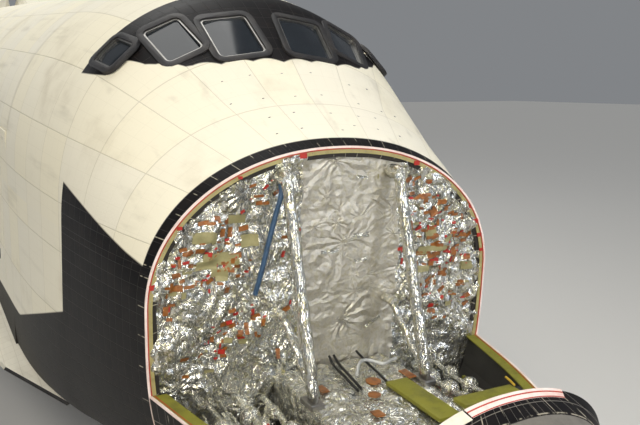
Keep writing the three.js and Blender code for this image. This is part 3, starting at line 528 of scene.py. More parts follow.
# 1 in the black band round the windows, with a scalloped edge ahead of them.
def windowBand(side, station, water):
    stops = [(place / 100, (*[(start - 400) / 100] * 3, 1)) for place, start in surroundRows]
    flat = calc("ABSOLUTE", side)
    scallop = calc("ABSOLUTE", calc("SINE", flat * 0.21)) * 1.6
    start = ramped(flat / 100.0, stops) * 100.0 + scallop
    behind = rising(station - (start + 400.0), -0.4, 0.4)
    return behind * (1.0 - rising(station, 481.0, 481.8)) * rising(water, 453.5, 454.3)


# The hull's paint and tiles: white above the line and black below it, with a black rim round the nose opening.
def makeHull(name, nose=False, windows=False):
    material, tree, inputs, here = newMaterial(name, 0.75)
    side, station, water = here["Side"], here["Station"], here["Water"]
    roundWay = calc("ARCTAN2", water - 385.0, side) * (48.0 if nose else 96.0)

    def tiles(kind, gap):
        return use(tree, "tiles", Across=station, Up=roundWay, Size=hullSize[kind], Gap=gap)
    black, white = tiles("tile", 0.024), tiles("blanket", 0.012)
    small, wide = tiles("whiteTile", 0.02), tiles("rimTile", 0.028)
    grimeAndReflection = use(tree, "grimeAndReflection", Craft=here["Craft"], Size=hullSize["grimeAndReflection"])
    rim = 1.0 - rising(station, hullSize["rimTo"] - 0.3, hullSize["rimTo"] + 0.3)
    paint = layered(hullTint["white"], [
        (white["Shade"] * 0.35, hullTint["cream"]), (small["Joint"] * 0.16, hullTint["gap"]),
        (white["Joint"] * 0.55, hullTint["gap"]), (rising(grimeAndReflection["Cloud"], 0.52, 0.8) * 0.45, hullTint["stain"]),
        (rising(grimeAndReflection["Streak"], 0.58, 0.75) * 0.22, hullTint["drip"]),
    ])
    dark = layered(hullTint["black"], [
        (black["Shade"], hullTint["blackOdd"]), (rising(grimeAndReflection["Speck"], 0.5, 0.8) * 0.6, hullTint["blackWorn"]),
        (black["Joint"], hullTint["noseGap" if nose else "blackGap"]),
        (rim * wide["Joint"] * rising(grimeAndReflection["Speck"], 0.4, 0.55), hullTint["rimGap"]),
    ])
    above = 0.0 if nose else rising(water - boundaryHeight(station), -0.5, 0.5)
    above = above * (1.0 - rim)
    if windows:
        above = above * (1.0 - windowBand(side, station, water))
    give(inputs["Base Color"], mixed(above, dark, paint))
    inputs["Specular IOR Level"].default_value = 0.12
    give(inputs["Roughness"], above * 0.3 + 0.48)
    grain = noiseOver(here["Craft"], 0.9, Detail=4.0)["Fac"]
    quilt = white["Joint"] * -0.8 + grain * 0.35
    bumped(inputs, above * quilt + (1.0 - above) * (black["Joint"] * -1.0), 0.5, 0.5)
    return material


# Wings, fin and pods: white above and black below, split by which way the surface faces.
def makeWingSkin(name, blackBelow=True, size=7.0, across="Side", up="Station"):
    material, tree, inputs, here = newMaterial(name, 0.75)
    grid = use(tree, "tiles", Across=here[across], Up=here[up], Size=size, Gap=0.03)
    grimeAndReflection = use(tree, "grimeAndReflection", Craft=here["Craft"], Size=60.0)
    paint = layered(hullTint["white"], [
        (grid["Shade"] * 0.4, tone("d3cdbc")), (grid["Joint"] * 0.5, hullTint["gap"]),
        (rising(grimeAndReflection["Streak"], 0.5, 0.72) * 0.2, tone("9d9584")),
    ])
    dark = layered(hullTint["black"], [(grid["Shade"], tone("2e2c2d")), (grid["Joint"], hullTint["blackGap"])])
    facing = add(tree, "SeparateXYZ", {0: add(tree, "TexCoord")["Normal"]})["Z"]
    above = rising(facing, -0.35, -0.3) if blackBelow else 1.0
    give(inputs["Base Color"], mixed(above, dark, paint))
    inputs["Specular IOR Level"].default_value = 0.12
    give(inputs["Roughness"], grimeAndReflection["Cloud"] * 0.3 + 0.5)
    bumped(inputs, grid["Joint"] * -1.0, 0.4, 0.3)
    return material


# Metal foil. Long stretches the facets up and down, tilt sets how hard it is crushed.
def makeFoil(name, size=9.0, tilt=0.3, long=0.7, warm=0.12, dull=0.0, smooth=0.2, metallic=0.85):
    material, tree, inputs, here = newMaterial(name, 0.22, metallic)
    drawn = vectorCalc("MULTIPLY", here["Craft"], (1.0, 1.0, long))
    folds = use(tree, "crumple", Craft=drawn, Size=size, Tilt=tilt)
    grimeAndReflection = use(tree, "grimeAndReflection", Craft=here["Craft"], Size=26.0)
    metal = layered(mixed(grimeAndReflection["Cloud"], tone("bdbdb5"), tone("ecebe4")), [
        # The fold ridges are darkened grey: painted shade in the creases.
        (folds["FoldShade"] * 0.3, tone("77746d")), (rising(grimeAndReflection["Streak"], 0.55, 0.7) * warm, tone("8a5026")),
        # The olive and bluish specks are painted reflections, standing in for the olive structure and blue surroundings
        # the foil mirrors.
        (rising(grimeAndReflection["Speck"], 0.5, 0.62) * 0.5, tone("a39d62")),
        (rising(grimeAndReflection["Speck"], 0.46, 0.34) * 0.4, tone("8496a4")), (dull, tone("b2aa99")),
    ])
    give(inputs["Base Color"], metal)
    give(inputs["Roughness"], grimeAndReflection["Speck"] * 0.12 + (smooth + dull * 0.3))
    bumped(inputs, folds["Height"], 1.0, 1.0)
    return material


# One plain painted, rubber or metal finish with its own wear, grain and colour drift.
def makePlain(name, base, worn, roughness=0.5, metallic=0.0, size=12.0, grain=2.0, wear=0.5, coat=0.0):
    material, tree, inputs, here = newMaterial(name, roughness, metallic, coat)
    grimeAndReflection = use(tree, "grimeAndReflection", Craft=here["Craft"], Size=size)
    fine = noiseOver(here["Craft"], grain, Detail=5.0, Roughness=0.65)["Fac"]
    tint = mixed(rising(grimeAndReflection["Cloud"], 0.42, 0.72) * wear, tone(base), tone(worn))
    give(inputs["Base Color"], mixed(rising(fine, 0.55, 0.75) * (wear * 0.5), tint, tone(worn)))
    give(inputs["Roughness"], (fine - 0.5) * 0.3 + roughness)
    bumped(inputs, fine, 0.5, 0.06)
    return material


def makeGlass():
    material, tree, inputs, here = newMaterial("windowGlass", 0.05)
    inputs["Transmission Weight"].default_value = 0.12
    inputs["IOR"].default_value = 1.45
    grimeAndReflection = use(tree, "grimeAndReflection", Craft=here["Craft"], Size=9.0)
    give(inputs["Base Color"], mixed(grimeAndReflection["Cloud"], tone("10151c"), tone("272d33")))
    give(inputs["Roughness"], grimeAndReflection["Speck"] * 0.12)
    return material


# Bell walls: bare metal with heat colours.
def makeNozzle():
    material, tree, inputs, here = newMaterial("nozzleMetal", 0.35, 0.9)
    grimeAndReflection = use(tree, "grimeAndReflection", Craft=here["Craft"], Size=30.0)
    heat = [(0.3, tone("6a625b")), (0.5, tone("8d857c")), (0.62, tone("7a6a58")), (0.75, tone("56606c"))]
    give(inputs["Base Color"], ramped(grimeAndReflection["Cloud"], heat))
    give(inputs["Roughness"], grimeAndReflection["Speck"] * 0.3 + 0.22)
    bumped(inputs, noiseOver(here["Craft"], 3.0, Detail=4.0)["Fac"], 0.3, 0.05)
    return material


def makeRubber():
    material, tree, inputs, here = newMaterial("tyreRubber", 0.78)
    grimeAndReflection = use(tree, "grimeAndReflection", Craft=here["Craft"], Size=14.0)
    give(inputs["Base Color"], mixed(rising(grimeAndReflection["Cloud"], 0.45, 0.75), tone("1a1a1b"), tone("3a3733")))
    fine = noiseOver(here["Craft"], 5.0, Detail=5.0)["Fac"]
    give(inputs["Roughness"], fine * 0.2 + 0.66)
    bumped(inputs, fine, 0.5, 0.05)
    return material


look = {
    "nose": makeHull("noseTiles", nose=True),
    "cabin": makeHull("cabinSkin", windows=True),
    "hull": makeHull("hullSkin"),
    "wing": makeWingSkin("wingSkin"),
    "fin": makeWingSkin("finTiles", False, 8.0, "Station", "Water"),
    "pod": makeWingSkin("podBlanket", False, 16.0, "Station", "Side"),
    "blackTile": makePlain("blackTile", "1c1b1d", "3a3633", 0.55, wear=0.6),
    "whiteTile": makePlain("whiteTile", "e2ddcd", "b9b09b", 0.8, wear=0.5),
    "carbon": makePlain("greyCarbon", "77736b", "54504a", 0.5, size=18.0, wear=0.7),
    "foil": makeFoil("foilBlanket"),
    "foilFine": makeFoil("foilScrap", 4.0, 0.4, 1.0, 0.25),
    "wrap": makeFoil("foilWrap", 4.0, 0.16, 0.12, 0.08, 0.0, 0.14),
    "foilDull": makeFoil("foilPanel", 17.0, 0.15, 1.2, 0.05, 0.6, 0.2, 0.6),
    "tape": makePlain("amberTape", "93591f", "5d3312", 0.4, size=3.0, wear=0.9, coat=0.3),
    "redTag": makePlain("redTag", "b0281a", "74180f", 0.5, size=4.0),
    "primer": makePlain("palePrimer", "969066", "6c6640", 0.55, size=9.0, wear=0.6),
    "beam": makePlain("olivePaint", "7f7d24", "4f4d18", 0.55, size=9.0, wear=0.6),
    "flange": makePlain("flangePrimer", "a99f6a", "746d3c", 0.5, size=8.0, wear=0.6),
    "pinkSeal": makePlain("pinkSeal", "eddcd6", "cfa89a", 0.6, size=8.0, wear=0.6),
    "salmon": makePlain("salmonLine", "b23a22", "84281a", 0.55, size=5.0),
    "hose": makePlain("blueHose", "33506e", "1e2f42", 0.5, size=4.0),
    "blackHose": makePlain("blackHose", "151516", "2a2a2c", 0.5, size=4.0),
    "strap": makePlain("yellowStrap", "c9a832", "9a7c1e", 0.7, size=4.0),
    "glass": makeGlass(),
    "nozzle": makeNozzle(),
    "steel": makePlain("bareSteel", "9a9894", "6b6964", 0.32, 0.9, size=10.0),
    "gear": makePlain("gearPaint", "c9cbca", "8f918f", 0.4, 0.3, size=8.0, wear=0.6),
    # Near-black finish for the nose bay's inner walls: painted shade for their deep pits.
    "dark": makePlain("paintedShadeRoom", "2a2927", "151413", 0.7, size=10.0),
    "cabinGrey": makePlain("cabinGrey", "63676a", "44484a", 0.7, size=10.0),
    "radiator": makePlain("radiatorSilver", "c2c6c8", "9fa4a6", 0.18, 0.85, size=30.0, wear=0.4),
    "liner": makePlain("bayLiner", "d5d3ca", "a9a699", 0.85, size=22.0, wear=0.5),
    "rubber": makeRubber(),
}
print("finishes made:", len(look))

# Fuselage skin, smoother than the frame's own rings and a little proud of them

skin = {"lift": 0.1, "around": 160}
hatchLook = {"station": 508, "water": 367, "hole": 20.15, "proud": 0.12, "thick": 0.35}


# The outline as a smooth curve through its rows, never inside their straight lines at the sides, top and bottom.
def smoothRow(station):
    rows = noseRows
    for index in range(len(rows) - 1):
        if station <= rows[index + 1][0]:
            break
    before, after = rows[max(index - 1, 0)], rows[min(index + 2, len(rows) - 1)]
    low, high = rows[index], rows[index + 1]
    span = high[0] - low[0]
    share = min(max((station - low[0]) / span, 0), 1)
    square, cube = share ** 2, share ** 3
    made = []
    for column in range(1, 7):
        straight = low[column] + share * (high[column] - low[column])
        into = (high[column] - before[column]) / (high[0] - before[0]) * span
        outOf = (after[column] - low[column]) / (after[0] - low[0]) * span
        bent = (2 * cube - 3 * square + 1) * low[column] + (cube - 2 * square + share) * into
        bent += (3 * square - 2 * cube) * high[column] + (cube - square) * outOf
        if column in (1, 2):
            bent = max(bent, straight)
        if column == 4:
            bent = min(bent, straight)
        made.append(bent)
    return made


def skinSpot(station, degrees, lift):
    return ringSpot(smoothRow(station), station, degrees, lift)


# The open bay's edge climbs a little aft.
def sillLine(station):
    return 331 + (station - 268) / 110 * 4


def skinGrid(name, stations, degrees, down, across, lift, thickness):
    def spotAt(u, v):
        return skinSpot(stations[0] + u * (stations[1] - stations[0]), degrees[0] + v * (degrees[1] - degrees[0]), lift)
    piece = bentGrid(name, spotAt, down, across)
    tidyNormals(piece, 0.002)
    modify(piece, "SOLIDIFY", thickness=thickness * craft["inch"], offset=-1)
    return piece


# Panes. Columns: station, degrees round the ring, half width, half height.
paneRows = [(446.5, 80.2, 12.4, 14.5), (453, 63.6, 10.2, 13.2), (468, 46.6, 8.6, 11)]


def panePlace(station, degrees):
    return at(*hullSpot(station, degrees))


def paneFrame(row):
    station, degrees = row[:2]
    across = (panePlace(station, degrees - 3) - panePlace(station, degrees + 3)).normalized()
    back = panePlace(station + 4, degrees) - panePlace(station - 4, degrees)
    outward = across.cross(back).normalized()
    back = outward.cross(across).normalized()
    return panePlace(station, degrees), across, back, outward


# A plate with rounded corners, square to the skin at a pane; side is 1 for the left and -1 for the right.
def panePlate(name, row, grow, low, high, side, corner=3.5):
    inch = craft["inch"]
    centre, across, back, outward = paneFrame(row)
    nothingSelected()
    bpy.ops.mesh.primitive_cube_add(size=1)
    piece = bpy.context.object
    piece.name = name
    piece.scale = (2 * (row[2] + grow) * inch, 2 * (row[3] + grow) * inch, (high - low) * inch)
    bpy.ops.object.transform_apply(location=True, rotation=True, scale=True)
    bpy.ops.object.mode_set(mode="EDIT")
    bpy.ops.mesh.select_all(action="DESELECT")
    bpy.ops.mesh.select_mode(type="EDGE")
    bpy.ops.object.mode_set(mode="OBJECT")
    for edge in piece.data.edges:
        ends = [piece.data.vertices[index].co for index in edge.vertices]
        edge.select = abs(ends[0].z - ends[1].z) > 0.001
    bpy.ops.object.mode_set(mode="EDIT")
    bpy.ops.mesh.bevel(offset=(corner + grow) * inch, segments=4, affect="EDGES")
    bpy.ops.object.mode_set(mode="OBJECT")
    turn = Matrix((across, back, outward)).transposed().to_4x4()
    middle = Matrix.Translation(centre + outward * (low + high) / 2 * inch)
    piece.data.transform(middle @ turn)
    if side < 0:
        piece.data.transform(Matrix.Scale(-1, 4, (1, 0, 0)))
    tidyNormals(piece)
    return piece


def cutAway(piece, tool):
    modify(piece, "BOOLEAN", object=tool, operation="DIFFERENCE", solver="EXACT")
    bpy.data.objects.remove(tool, do_unlink=True)


def makeCabinSkin():
    piece = skinGrid("cabin_skin", (378, 582), (-90, 270), 70, skin["around"], skin["lift"], 0.7)
    for row in paneRows:
        for side in (1, -1):
            cutAway(piece, panePlate("paneTool", row, 0.05, -14, 14, side))
    nothingSelected()
    bpy.ops.mesh.primitive_cylinder_add(vertices=64, radius=hatchLook["hole"] * craft["inch"], depth=1.2)
    tool = bpy.context.object
    middle = Matrix.Translation(at(100, hatchLook["station"], hatchLook["water"]))
    tool.data.transform(middle @ Matrix.Rotation(math.pi / 2, 4, "Y"))
    cutAway(piece, tool)
    smooth(piece, 30)
    dress(piece, look["cabin"])


# Small dark blanket buttons in loose rows over the cabin's roof. Columns: station, first degree, count.
buttonRows = [(390, 62, 6), (401, 70, 5), (412, 58, 7), (424, 66, 6)]
buttonLook = {"radius": 0.55, "stepDegrees": 8.5, "stray": 2.2}


def makeButtons():
    random.seed(23)
    radius = buttonLook["radius"]
    shape = [(0.1, -0.05), (radius, -0.04), (radius * 0.9, 0.1), (0.1, 0.14)]
    buttons = []
    for station, start, count in buttonRows:
        for index in range(count):
            stray = random.uniform(-buttonLook["stray"], buttonLook["stray"])
            degrees = start + index * buttonLook["stepDegrees"] + stray
            spot = skinSpot(station + stray, degrees, skin["lift"])
            outward = Vector(skinSpot(station + stray, degrees, skin["lift"] + 1)) - Vector(spot)
            buttons.append(spun("button", shape, spot, outward, 12))
    assemble(buttons, "blanket_buttons", "blackTile")


noseSkin = {"cap": 238.6, "capLong": 20.8, "front": 259.6, "frontLong": 8.4, "open": 268, "aft": 377.5}


# Below the open bay's edge the tiles run from one side under the belly to the other.
def makeNoseTiles():
    def under(u, v):
        station = noseSkin["open"] + u * (noseSkin["aft"] - noseSkin["open"])
        half, top, widest, bottom, above, below = smoothRow(station)
        drop = (widest - sillLine(station) + 0.3) / (widest - bottom)
        start = -math.degrees(math.asin(min(1.0, drop ** (below / 2))))
        return skinSpot(station, start - v * (180 + 2 * start), skin["lift"])

    def front(u, v):
        return skinSpot(noseSkin["front"] + u * noseSkin["frontLong"], -90 + v * 360, skin["lift"])
    piece = joined([bentGrid("nose_tiles", under, 60, 120), bentGrid("nose_front", front, 6, 120)], "nose_tiles")
    tidyNormals(piece, 0.002)
    modify(piece, "SOLIDIFY", thickness=0.35 * craft["inch"], offset=-1)
    smooth(piece, 30)
    dress(piece, look["nose"])


def makeNoseCap():
    def spotAt(u, v):
        return skinSpot(noseSkin["cap"] + u ** 1.7 * noseSkin["capLong"], -90 + v * 360, 0.03)
    piece = bentGrid("nose_cap_shell", spotAt, 24, 96)
    tidyNormals(piece, 0.001)
    smooth(piece, 60)
    dress(piece, look["carbon"])


# Nose opening: the rim's rings, rivets and red tags

rim = {"station": 378, "foilInset": 1.2, "from": -38, "to": 218, "rivets": 120, "rivetInset": 2.0, "tagInset": 2.2}
# Columns: name, station, outer inset, inner inset, finish, thickness.
ringRows = [
    ("rim_seal", 377.5, -0.1, 0.75, "pinkSeal", 0.6), ("rim_red_line", 377.4, 0.85, 1.25, "salmon", 0.5),
    ("rim_flange", 377.6, 1.3, 2.9, "flange", 0.35),
]
# Columns: degrees round the rim, width.
rimTags = [(101, 3.2), (171, 3.0), (62, 2.8), (30, 2.4), (22, 3.0), (15, 2.6), (8, 2.2), (148, 2.0), (122, 1.8)]


# A flat ring at one station between two insets from the skin.
def rimRing(name, station, outer, inner, thickness):
    def spotAt(u, v):
        degrees = rim["from"] + v * (rim["to"] - rim["from"])
        side, _, water = skinSpot(rim["station"], degrees, -(outer + u * (inner - outer)))
        return (side, station, water)
    piece = bentGrid(name, spotAt, 2, 150)
    modify(piece, "SOLIDIFY", thickness=thickness * craft["inch"], offset=0)
    tidyNormals(piece)
    return piece


def makeRim():
    for name, station, outer, inner, finish, thickness in ringRows:
        dress(rimRing(name, station, outer, inner, thickness), look[finish])
    rivets, tags = [], []
    for index in range(rim["rivets"]):
        side, _, water = skinSpot(rim["station"], -30 + index * 2, -rim["rivetInset"])
        nothingSelected()
        place = at(side, 377.35, water)
        bpy.ops.mesh.primitive_uv_sphere_add(segments=8, ring_count=4, radius=0.2 * craft["inch"], location=place)
        bpy.ops.object.transform_apply(location=True, rotation=True, scale=True)
        rivets.append(bpy.context.object)
    assemble(rivets, "rim_rivets", "steel", 35)
    for degrees, size in rimTags:
        side, _, water = skinSpot(rim["station"], degrees, -rim["tagInset"])
        low, high = (side - size / 2, 376.9, water - size / 3), (side + size / 2, 377.4, water + size / 3)
        tags.append(roundedBox("tag", low, high, 0.1))
    assemble(tags, "rim_tags", "redTag", None)


# Foil bulkhead

foilFace = {
    "station": 378.9, "depth": 2.6, "wide": 200, "tall": 140, "left": -95, "low": 320, "right": 95, "high": 440,
    "calmFrom": -17, "calmTo": 33, "lowest": 303,
}


# Creases fan out from the points where the blanket is fastened: one jittered point in each cell.
def fanPoints(spacing, fewest, most):
    points = {}
    for row in range(-2, math.ceil((foilFace["high"] - foilFace["low"]) / spacing) + 2):
        for column in range(-2, math.ceil((foilFace["right"] - foilFace["left"]) / spacing) + 2):
            side = foilFace["left"] + (column + random.uniform(0.1, 0.9)) * spacing
            water = foilFace["low"] + (row + random.uniform(0.1, 0.9)) * spacing
            points[(column, row)] = (side, water, random.randint(fewest, most), random.random())
    return points


random.seed(17)
fans = [(36, fanPoints(36, 7, 10), 0.7), (17, fanPoints(17, 4, 6), 0.3)]


# The two points nearest to a place: how far the first and second are, and the first one.
def nearestFan(side, water, spacing, points):
    column, row = math.floor((side - foilFace["left"]) / spacing), math.floor((water - foilFace["low"]) / spacing)
    first = second = 1e9
    place = None
    for a in (column - 1, column, column + 1):
        for b in (row - 1, row, row + 1):
            spot = points.get((a, b))
            away = math.hypot(side - spot[0], water - spot[1]) if spot else 1e9
            if away < first:
                first, second, place = away, first, spot
            elif away < second:
                second = away
    return first, second, place


def crumpleHeight(side, water):
    height = 0.0
    wander = 0.5 * noise.noise(Vector((side * 0.11, 7, water * 0.11)))
    for spacing, points, weight in fans:
        first, second, place = nearestFan(side, water, spacing, points)
        if not place:
            continue
        angle = math.atan2(water - place[1], side - place[0])
        turns = angle * place[2] / (2 * math.pi) + place[3] + wander
        share = min(1, first / (0.3 * spacing)) * min(1, (second - first) / (0.2 * spacing))
        broad, narrow = abs(2 * (turns % 1) - 1), abs(2 * (2.3 * turns % 1) - 1)
        height += weight * share * (0.82 * broad + 0.18 * narrow)
    return height


def inCentre(side):
    return min(max(min(side - foilFace["calmFrom"], foilFace["calmTo"] - side) / 5, 0), 1)


def faceStation(side, water):
    calm = inCentre(side)
    rough = foilFace["depth"] * crumpleHeight(side, water)
    pillow = 1.1 * math.sin(side * 0.19) * math.sin(water * 0.21)
    folds = 0.5 * abs(noise.noise(Vector((side * 0.05, 0, water * 0.26))))
    return foilFace["station"] - (1 - 0.85 * calm) * (rough + pillow) - calm * folds


def roundEdge(u, v):
    a, b = 2 * u - 1, 2 * v - 1
    return a * math.sqrt(1 - b * b / 2), b * math.sqrt(1 - a * a / 2)


def makeBulkheadFoil():
    half, top, widest, bottom, above, below = smoothRow(rim["station"])
    inset = rim["foilInset"]

    def spotAt(u, v):
        a, b = roundEdge(u, v)
        upper = b >= 0
        roundness = above if upper else below
        height = (top - inset - widest) if upper else (widest - bottom - inset)
        radius = math.hypot(a, b)
        if radius > 1e-6:
            direction = math.atan2(b, a)
            reach = (abs(math.cos(direction)) ** roundness + abs(math.sin(direction)) ** roundness) ** (-1 / roundness)
            a, b = radius * reach * math.cos(direction), radius * reach * math.sin(direction)
        side, water = (half - inset) * a, max(widest + height * b, foilFace["lowest"])
        inward = min(1, (1 - radius) / 0.02)
        edge = foilFace["station"] - 1.2
        return (side, edge + inward * (faceStation(side, water) - edge), water)
    piece = bentGrid("bulkhead_foil", spotAt, foilFace["wide"], foilFace["tall"])
    only(piece)
    bpy.ops.object.mode_set(mode="EDIT")
    bpy.ops.mesh.select_all(action="SELECT")
    bpy.ops.mesh.remove_doubles(threshold=0.0006)
    bpy.ops.object.mode_set(mode="OBJECT")
    smooth(piece, 9)
    piece.data.materials.clear()
    piece.data.materials.append(look["foil"])
    piece.data.materials.append(look["foilDull"])
    for polygon in piece.data.polygons:
        sides = [piece.data.vertices[index].co.x for index in polygon.vertices]
        side = sum(sides) / len(sides) / craft["inch"]
        wobble = 3 * noise.noise(Vector((0, 0, polygon.center.z * 2.2)))
        polygon.material_index = 1 if -16 + wobble < side < 32 + wobble else 0
    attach(piece, "airframe")
    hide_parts("forward_bulkhead")


# Small foil, tape and primer patches that lie on the bulkhead's crumpled face.
def facePatch(side, water, wide, tall, lift, spin=0.0, cells=3):
    def spotAt(u, v):
        a, b = (u - 0.5) * wide, (v - 0.5) * tall
        x = side + a * math.cos(spin) - b * math.sin(spin)
        z = water + a * math.sin(spin) + b * math.cos(spin)
        return (x, faceStation(x, z) - lift, z)
    return bentGrid("patch", spotAt, cells, cells)


def insideRim(side, water, inset):
    half, top, widest, bottom, above, below = smoothRow(rim["station"])
    upper = water >= widest
    height = (top - widest if upper else widest - bottom) - inset
    roundness = above if upper else below
    return (abs(side) / (half - inset)) ** roundness + (abs(water - widest) / height) ** roundness < 1


# Columns: finish, piece, count, narrowest, widest.
patchRows = [
    ("tape", "face_tape", 190, 1.2, 4.6), ("redTag", "face_tags", 95, 0.8, 3.0),
    ("primer", "face_primer", 26, 1.5, 5.0), ("foilFine", "face_foil_scraps", 60, 2.0, 9.0),
]
# Bare primer shows through in two spots. Columns: from side, to side, from water, to water.
bareSpots = [(-59, -36, 380, 403), (40, 83, 367, 395)]


# How likely a patch is at a place: crowded in clumps, and rare on the centre panel.
def patchChance(finish, side, water):
    crowd = noise.noise(Vector((side * 0.045, 3, water * 0.06)))
    chance = 0.06 if inCentre(side) > 0.1 else 0.3 + 1.6 * crowd
    if finish in ("tape", "redTag"):
        chance += 0.45 if 374 < water < 406 and abs(side) > 34 else -0.12
    return chance


def makePatches():
    random.seed(31)
    sets = {row[0]: [] for row in patchRows}
    for finish, _, count, small, large in patchRows:
        while len(sets[finish]) < count:
            side, water = random.uniform(-80, 78), random.uniform(338, 424)
            if not insideRim(side, water, 7) or random.random() > patchChance(finish, side, water):
                continue
            wide = random.uniform(small, large)
            tall = random.uniform(0.3, 0.7) * min(wide, 3.4)
            spin = random.choice((0, 0, 0.1, -0.15, 1.5, 0.5))
            sets[finish].append(facePatch(side, water, wide, tall, random.uniform(0.1, 0.4), spin))
    for low, high, under, over in bareSpots:
        for _ in range(9):
            side, water = random.uniform(low, high), random.uniform(under, over)
            if insideRim(side, water, 8):
                patch = facePatch(side, water, random.uniform(5, 11), random.uniform(2, 5), 0.25, 0.0, 5)
                sets["primer"].append(patch)
    for finish, name, *_ in patchRows:
        assemble(sets[finish], name, finish)


# Struts wrapped in foil, from the bulkhead to their feet on the box. Ends are stations and waters.

strut = {
    "side": 26.5, "foot": (345, 338), "long": (372, 418), "short": (372, 361), "longRadius": 2.45, "shortRadius": 1.6,
}


def wrappedRod(name, places, radius, rough, rings, around):
    start, end = [Vector(place) for place in places]
    total = (end - start).length
    way = (end - start).normalized()
    flat = way.cross(Vector((1, 0, 0))).normalized()
    level = way.cross(flat)

    def spotAt(u, v):
        run, angle = u * total, v * 2 * math.pi
        twist = Vector((math.cos(angle) * 2.2 + places[0][0], run * 0.33, math.sin(angle) * 2.2))
        swell = rough * (noise.noise(twist) + 0.6 * noise.noise(twist * 2.7))
        out = radius + swell + 0.18 * math.sin(run * 0.55 + angle)
        return tuple(start + way * run + flat * math.cos(angle) * out + level * math.sin(angle) * out)
    piece = bentGrid(name, spotAt, rings, around)
    tidyNormals(piece, 0.0008)
    only(piece)
    bpy.ops.object.mode_set(mode="EDIT")
    bpy.ops.mesh.select_all(action="DESELECT")
    bpy.ops.mesh.select_non_manifold()
    bpy.ops.mesh.fill_holes(sides=0)
    bpy.ops.object.mode_set(mode="OBJECT")
    smooth(piece, 34)
    return piece


def makeStruts():
    for side, label in ((strut["side"], "left"), (-strut["side"], "right")):
        for length in ("long", "short"):
            station, water = strut[length]
            radius = strut[length + "Radius"]
            rodPiece = wrappedRod("rod", [(side, station, water), (side, *strut["foot"])], radius, 0.1, 130, 28)
            capEnds = [(side, 377.5, water + 0.5), (side, station - 2, water + 0.2)]
            cap = wrappedRod("cap", capEnds, radius * 1.3, 0.3, 24, 24)
            assemble([rodPiece, cap], f"strut_{length}_{label}", "wrap", 30)
        shoe = roundedBox(f"strut_shoe_{label}", (side - 3, 341, 334.1), (side + 3, 351, 336.4), 0.5)
        lug = roundedBox("lug", (side - 1, 342.5, 336), (side + 1, 349, 340.4), 0.8)
        pin = tube("pin", [(side - 2.2, 345.5, 338.4), (side + 2.2, 345.5, 338.4)], 0.8, 12, False)
        assemble([shoe, lug, pin], f"strut_shoe_{label}", "steel", None)


# Hoses on the bulkhead and the box. Columns: name, radius, finish, places.
hoseRows = [
    ("hose_blue", 1.05, "hose", [
        (-27.5, 375.5, 416), (-28.4, 373, 413), (-30.6, 372.6, 405.5), (-33.4, 372.6, 395), (-36.4, 373, 382),
        (-38.4, 374.5, 372),
    ]),
    ("hose_dark_a", 0.6, "blackHose", [
        (-1.6, 377, 338.4), (-2.2, 373.3, 336.9), (-4.5, 358.5, 336.8), (-6.1, 345.6, 336.4),
    ]),
    ("hose_dark_b", 0.6, "blackHose", [
        (0.7, 377, 338.4), (0.1, 372.2, 336.9), (-2.1, 358.5, 336.8), (-4.1, 345.8, 336.4),
    ]),
    ("hose_dark_c", 0.55, "blackHose", [
        (12.2, 377, 338.4), (11.6, 367, 336.9), (10.2, 356, 336.8), (8.7, 345.5, 336.6),
    ]),
    ("hose_white", 0.75, "gear", [
        (1.6, 359, 336.4), (5.2, 363.5, 338.6), (10.4, 367, 338.4), (14.7, 366.5, 337.2), (17.5, 363.4, 336.9),
        (22, 364.6, 337), (27, 367.4, 336.2),
    ]),
]


def makeHoses():
    for name, radius, finish, places in hoseRows:
        dress(tube(name, places, radius, 12), look[finish])


# Open nose bay: foil over the raised box, clutter in the pits, sills and the front edge

bayFloor = {"roof": 334, "floor": 300, "halfBox": 27, "beamFore": 320, "beamAft": 327, "fore": 268, "aft": 378}
boxFoil = {"fore": 306, "long": 71, "proud": 0.6, "skirt": 3, "drop": 14}


def roofLine(station):
    return min(bayFloor["roof"], sillLine(station))


def roofHeight(side, station):
    edge = min(max((bayFloor["halfBox"] - abs(side)) / 3, 0), 1)
    return roofLine(station) + 0.3 + edge * (2.2 * crumpleHeight(side, station + 45) + 0.3 * math.sin(side * 0.3))


def makeBoxFoil():
    half, skirt = bayFloor["halfBox"] + boxFoil["proud"], boxFoil["skirt"]

    def spotAt(u, v):
        side = -half - skirt + u * 2 * (half + skirt)
        station = boxFoil["fore"] + v * boxFoil["long"]
        if abs(side) > half:
            drop = (abs(side) - half) / skirt * boxFoil["drop"]
            out = 0.5 + 0.8 * crumpleHeight(station - 330, bayFloor["roof"] - drop + 40)
            return (math.copysign(bayFloor["halfBox"] + out, side), station, roofLine(station) + 0.4 - drop)
        return (side, station, roofHeight(side, station))
    piece = bentGrid("box_foil", spotAt, 90, 90)
    tidyNormals(piece, 0.0006)
    smooth(piece, 9)
    dress(piece, look["foil"])


def makePitFoil():
    pieces = []
    for sign in (1, -1):
        for low, high in ((bayFloor["fore"], bayFloor["beamFore"]), (bayFloor["beamAft"], bayFloor["aft"])):
            def floorSpot(u, v):
                station = low + 1 + v * (high - low - 2)
                limit = smoothRow(station)[0] * 0.93 - 6
                side = sign * min(28 + u * 34, max(limit, 29))
                return (side, station, bayFloor["floor"] + 0.6 + 4.0 * crumpleHeight(side, station + 60))
            pieces.append(bentGrid("pit", floorSpot, 34, 34))
    assemble(pieces, "pit_foil", "foil", 9)


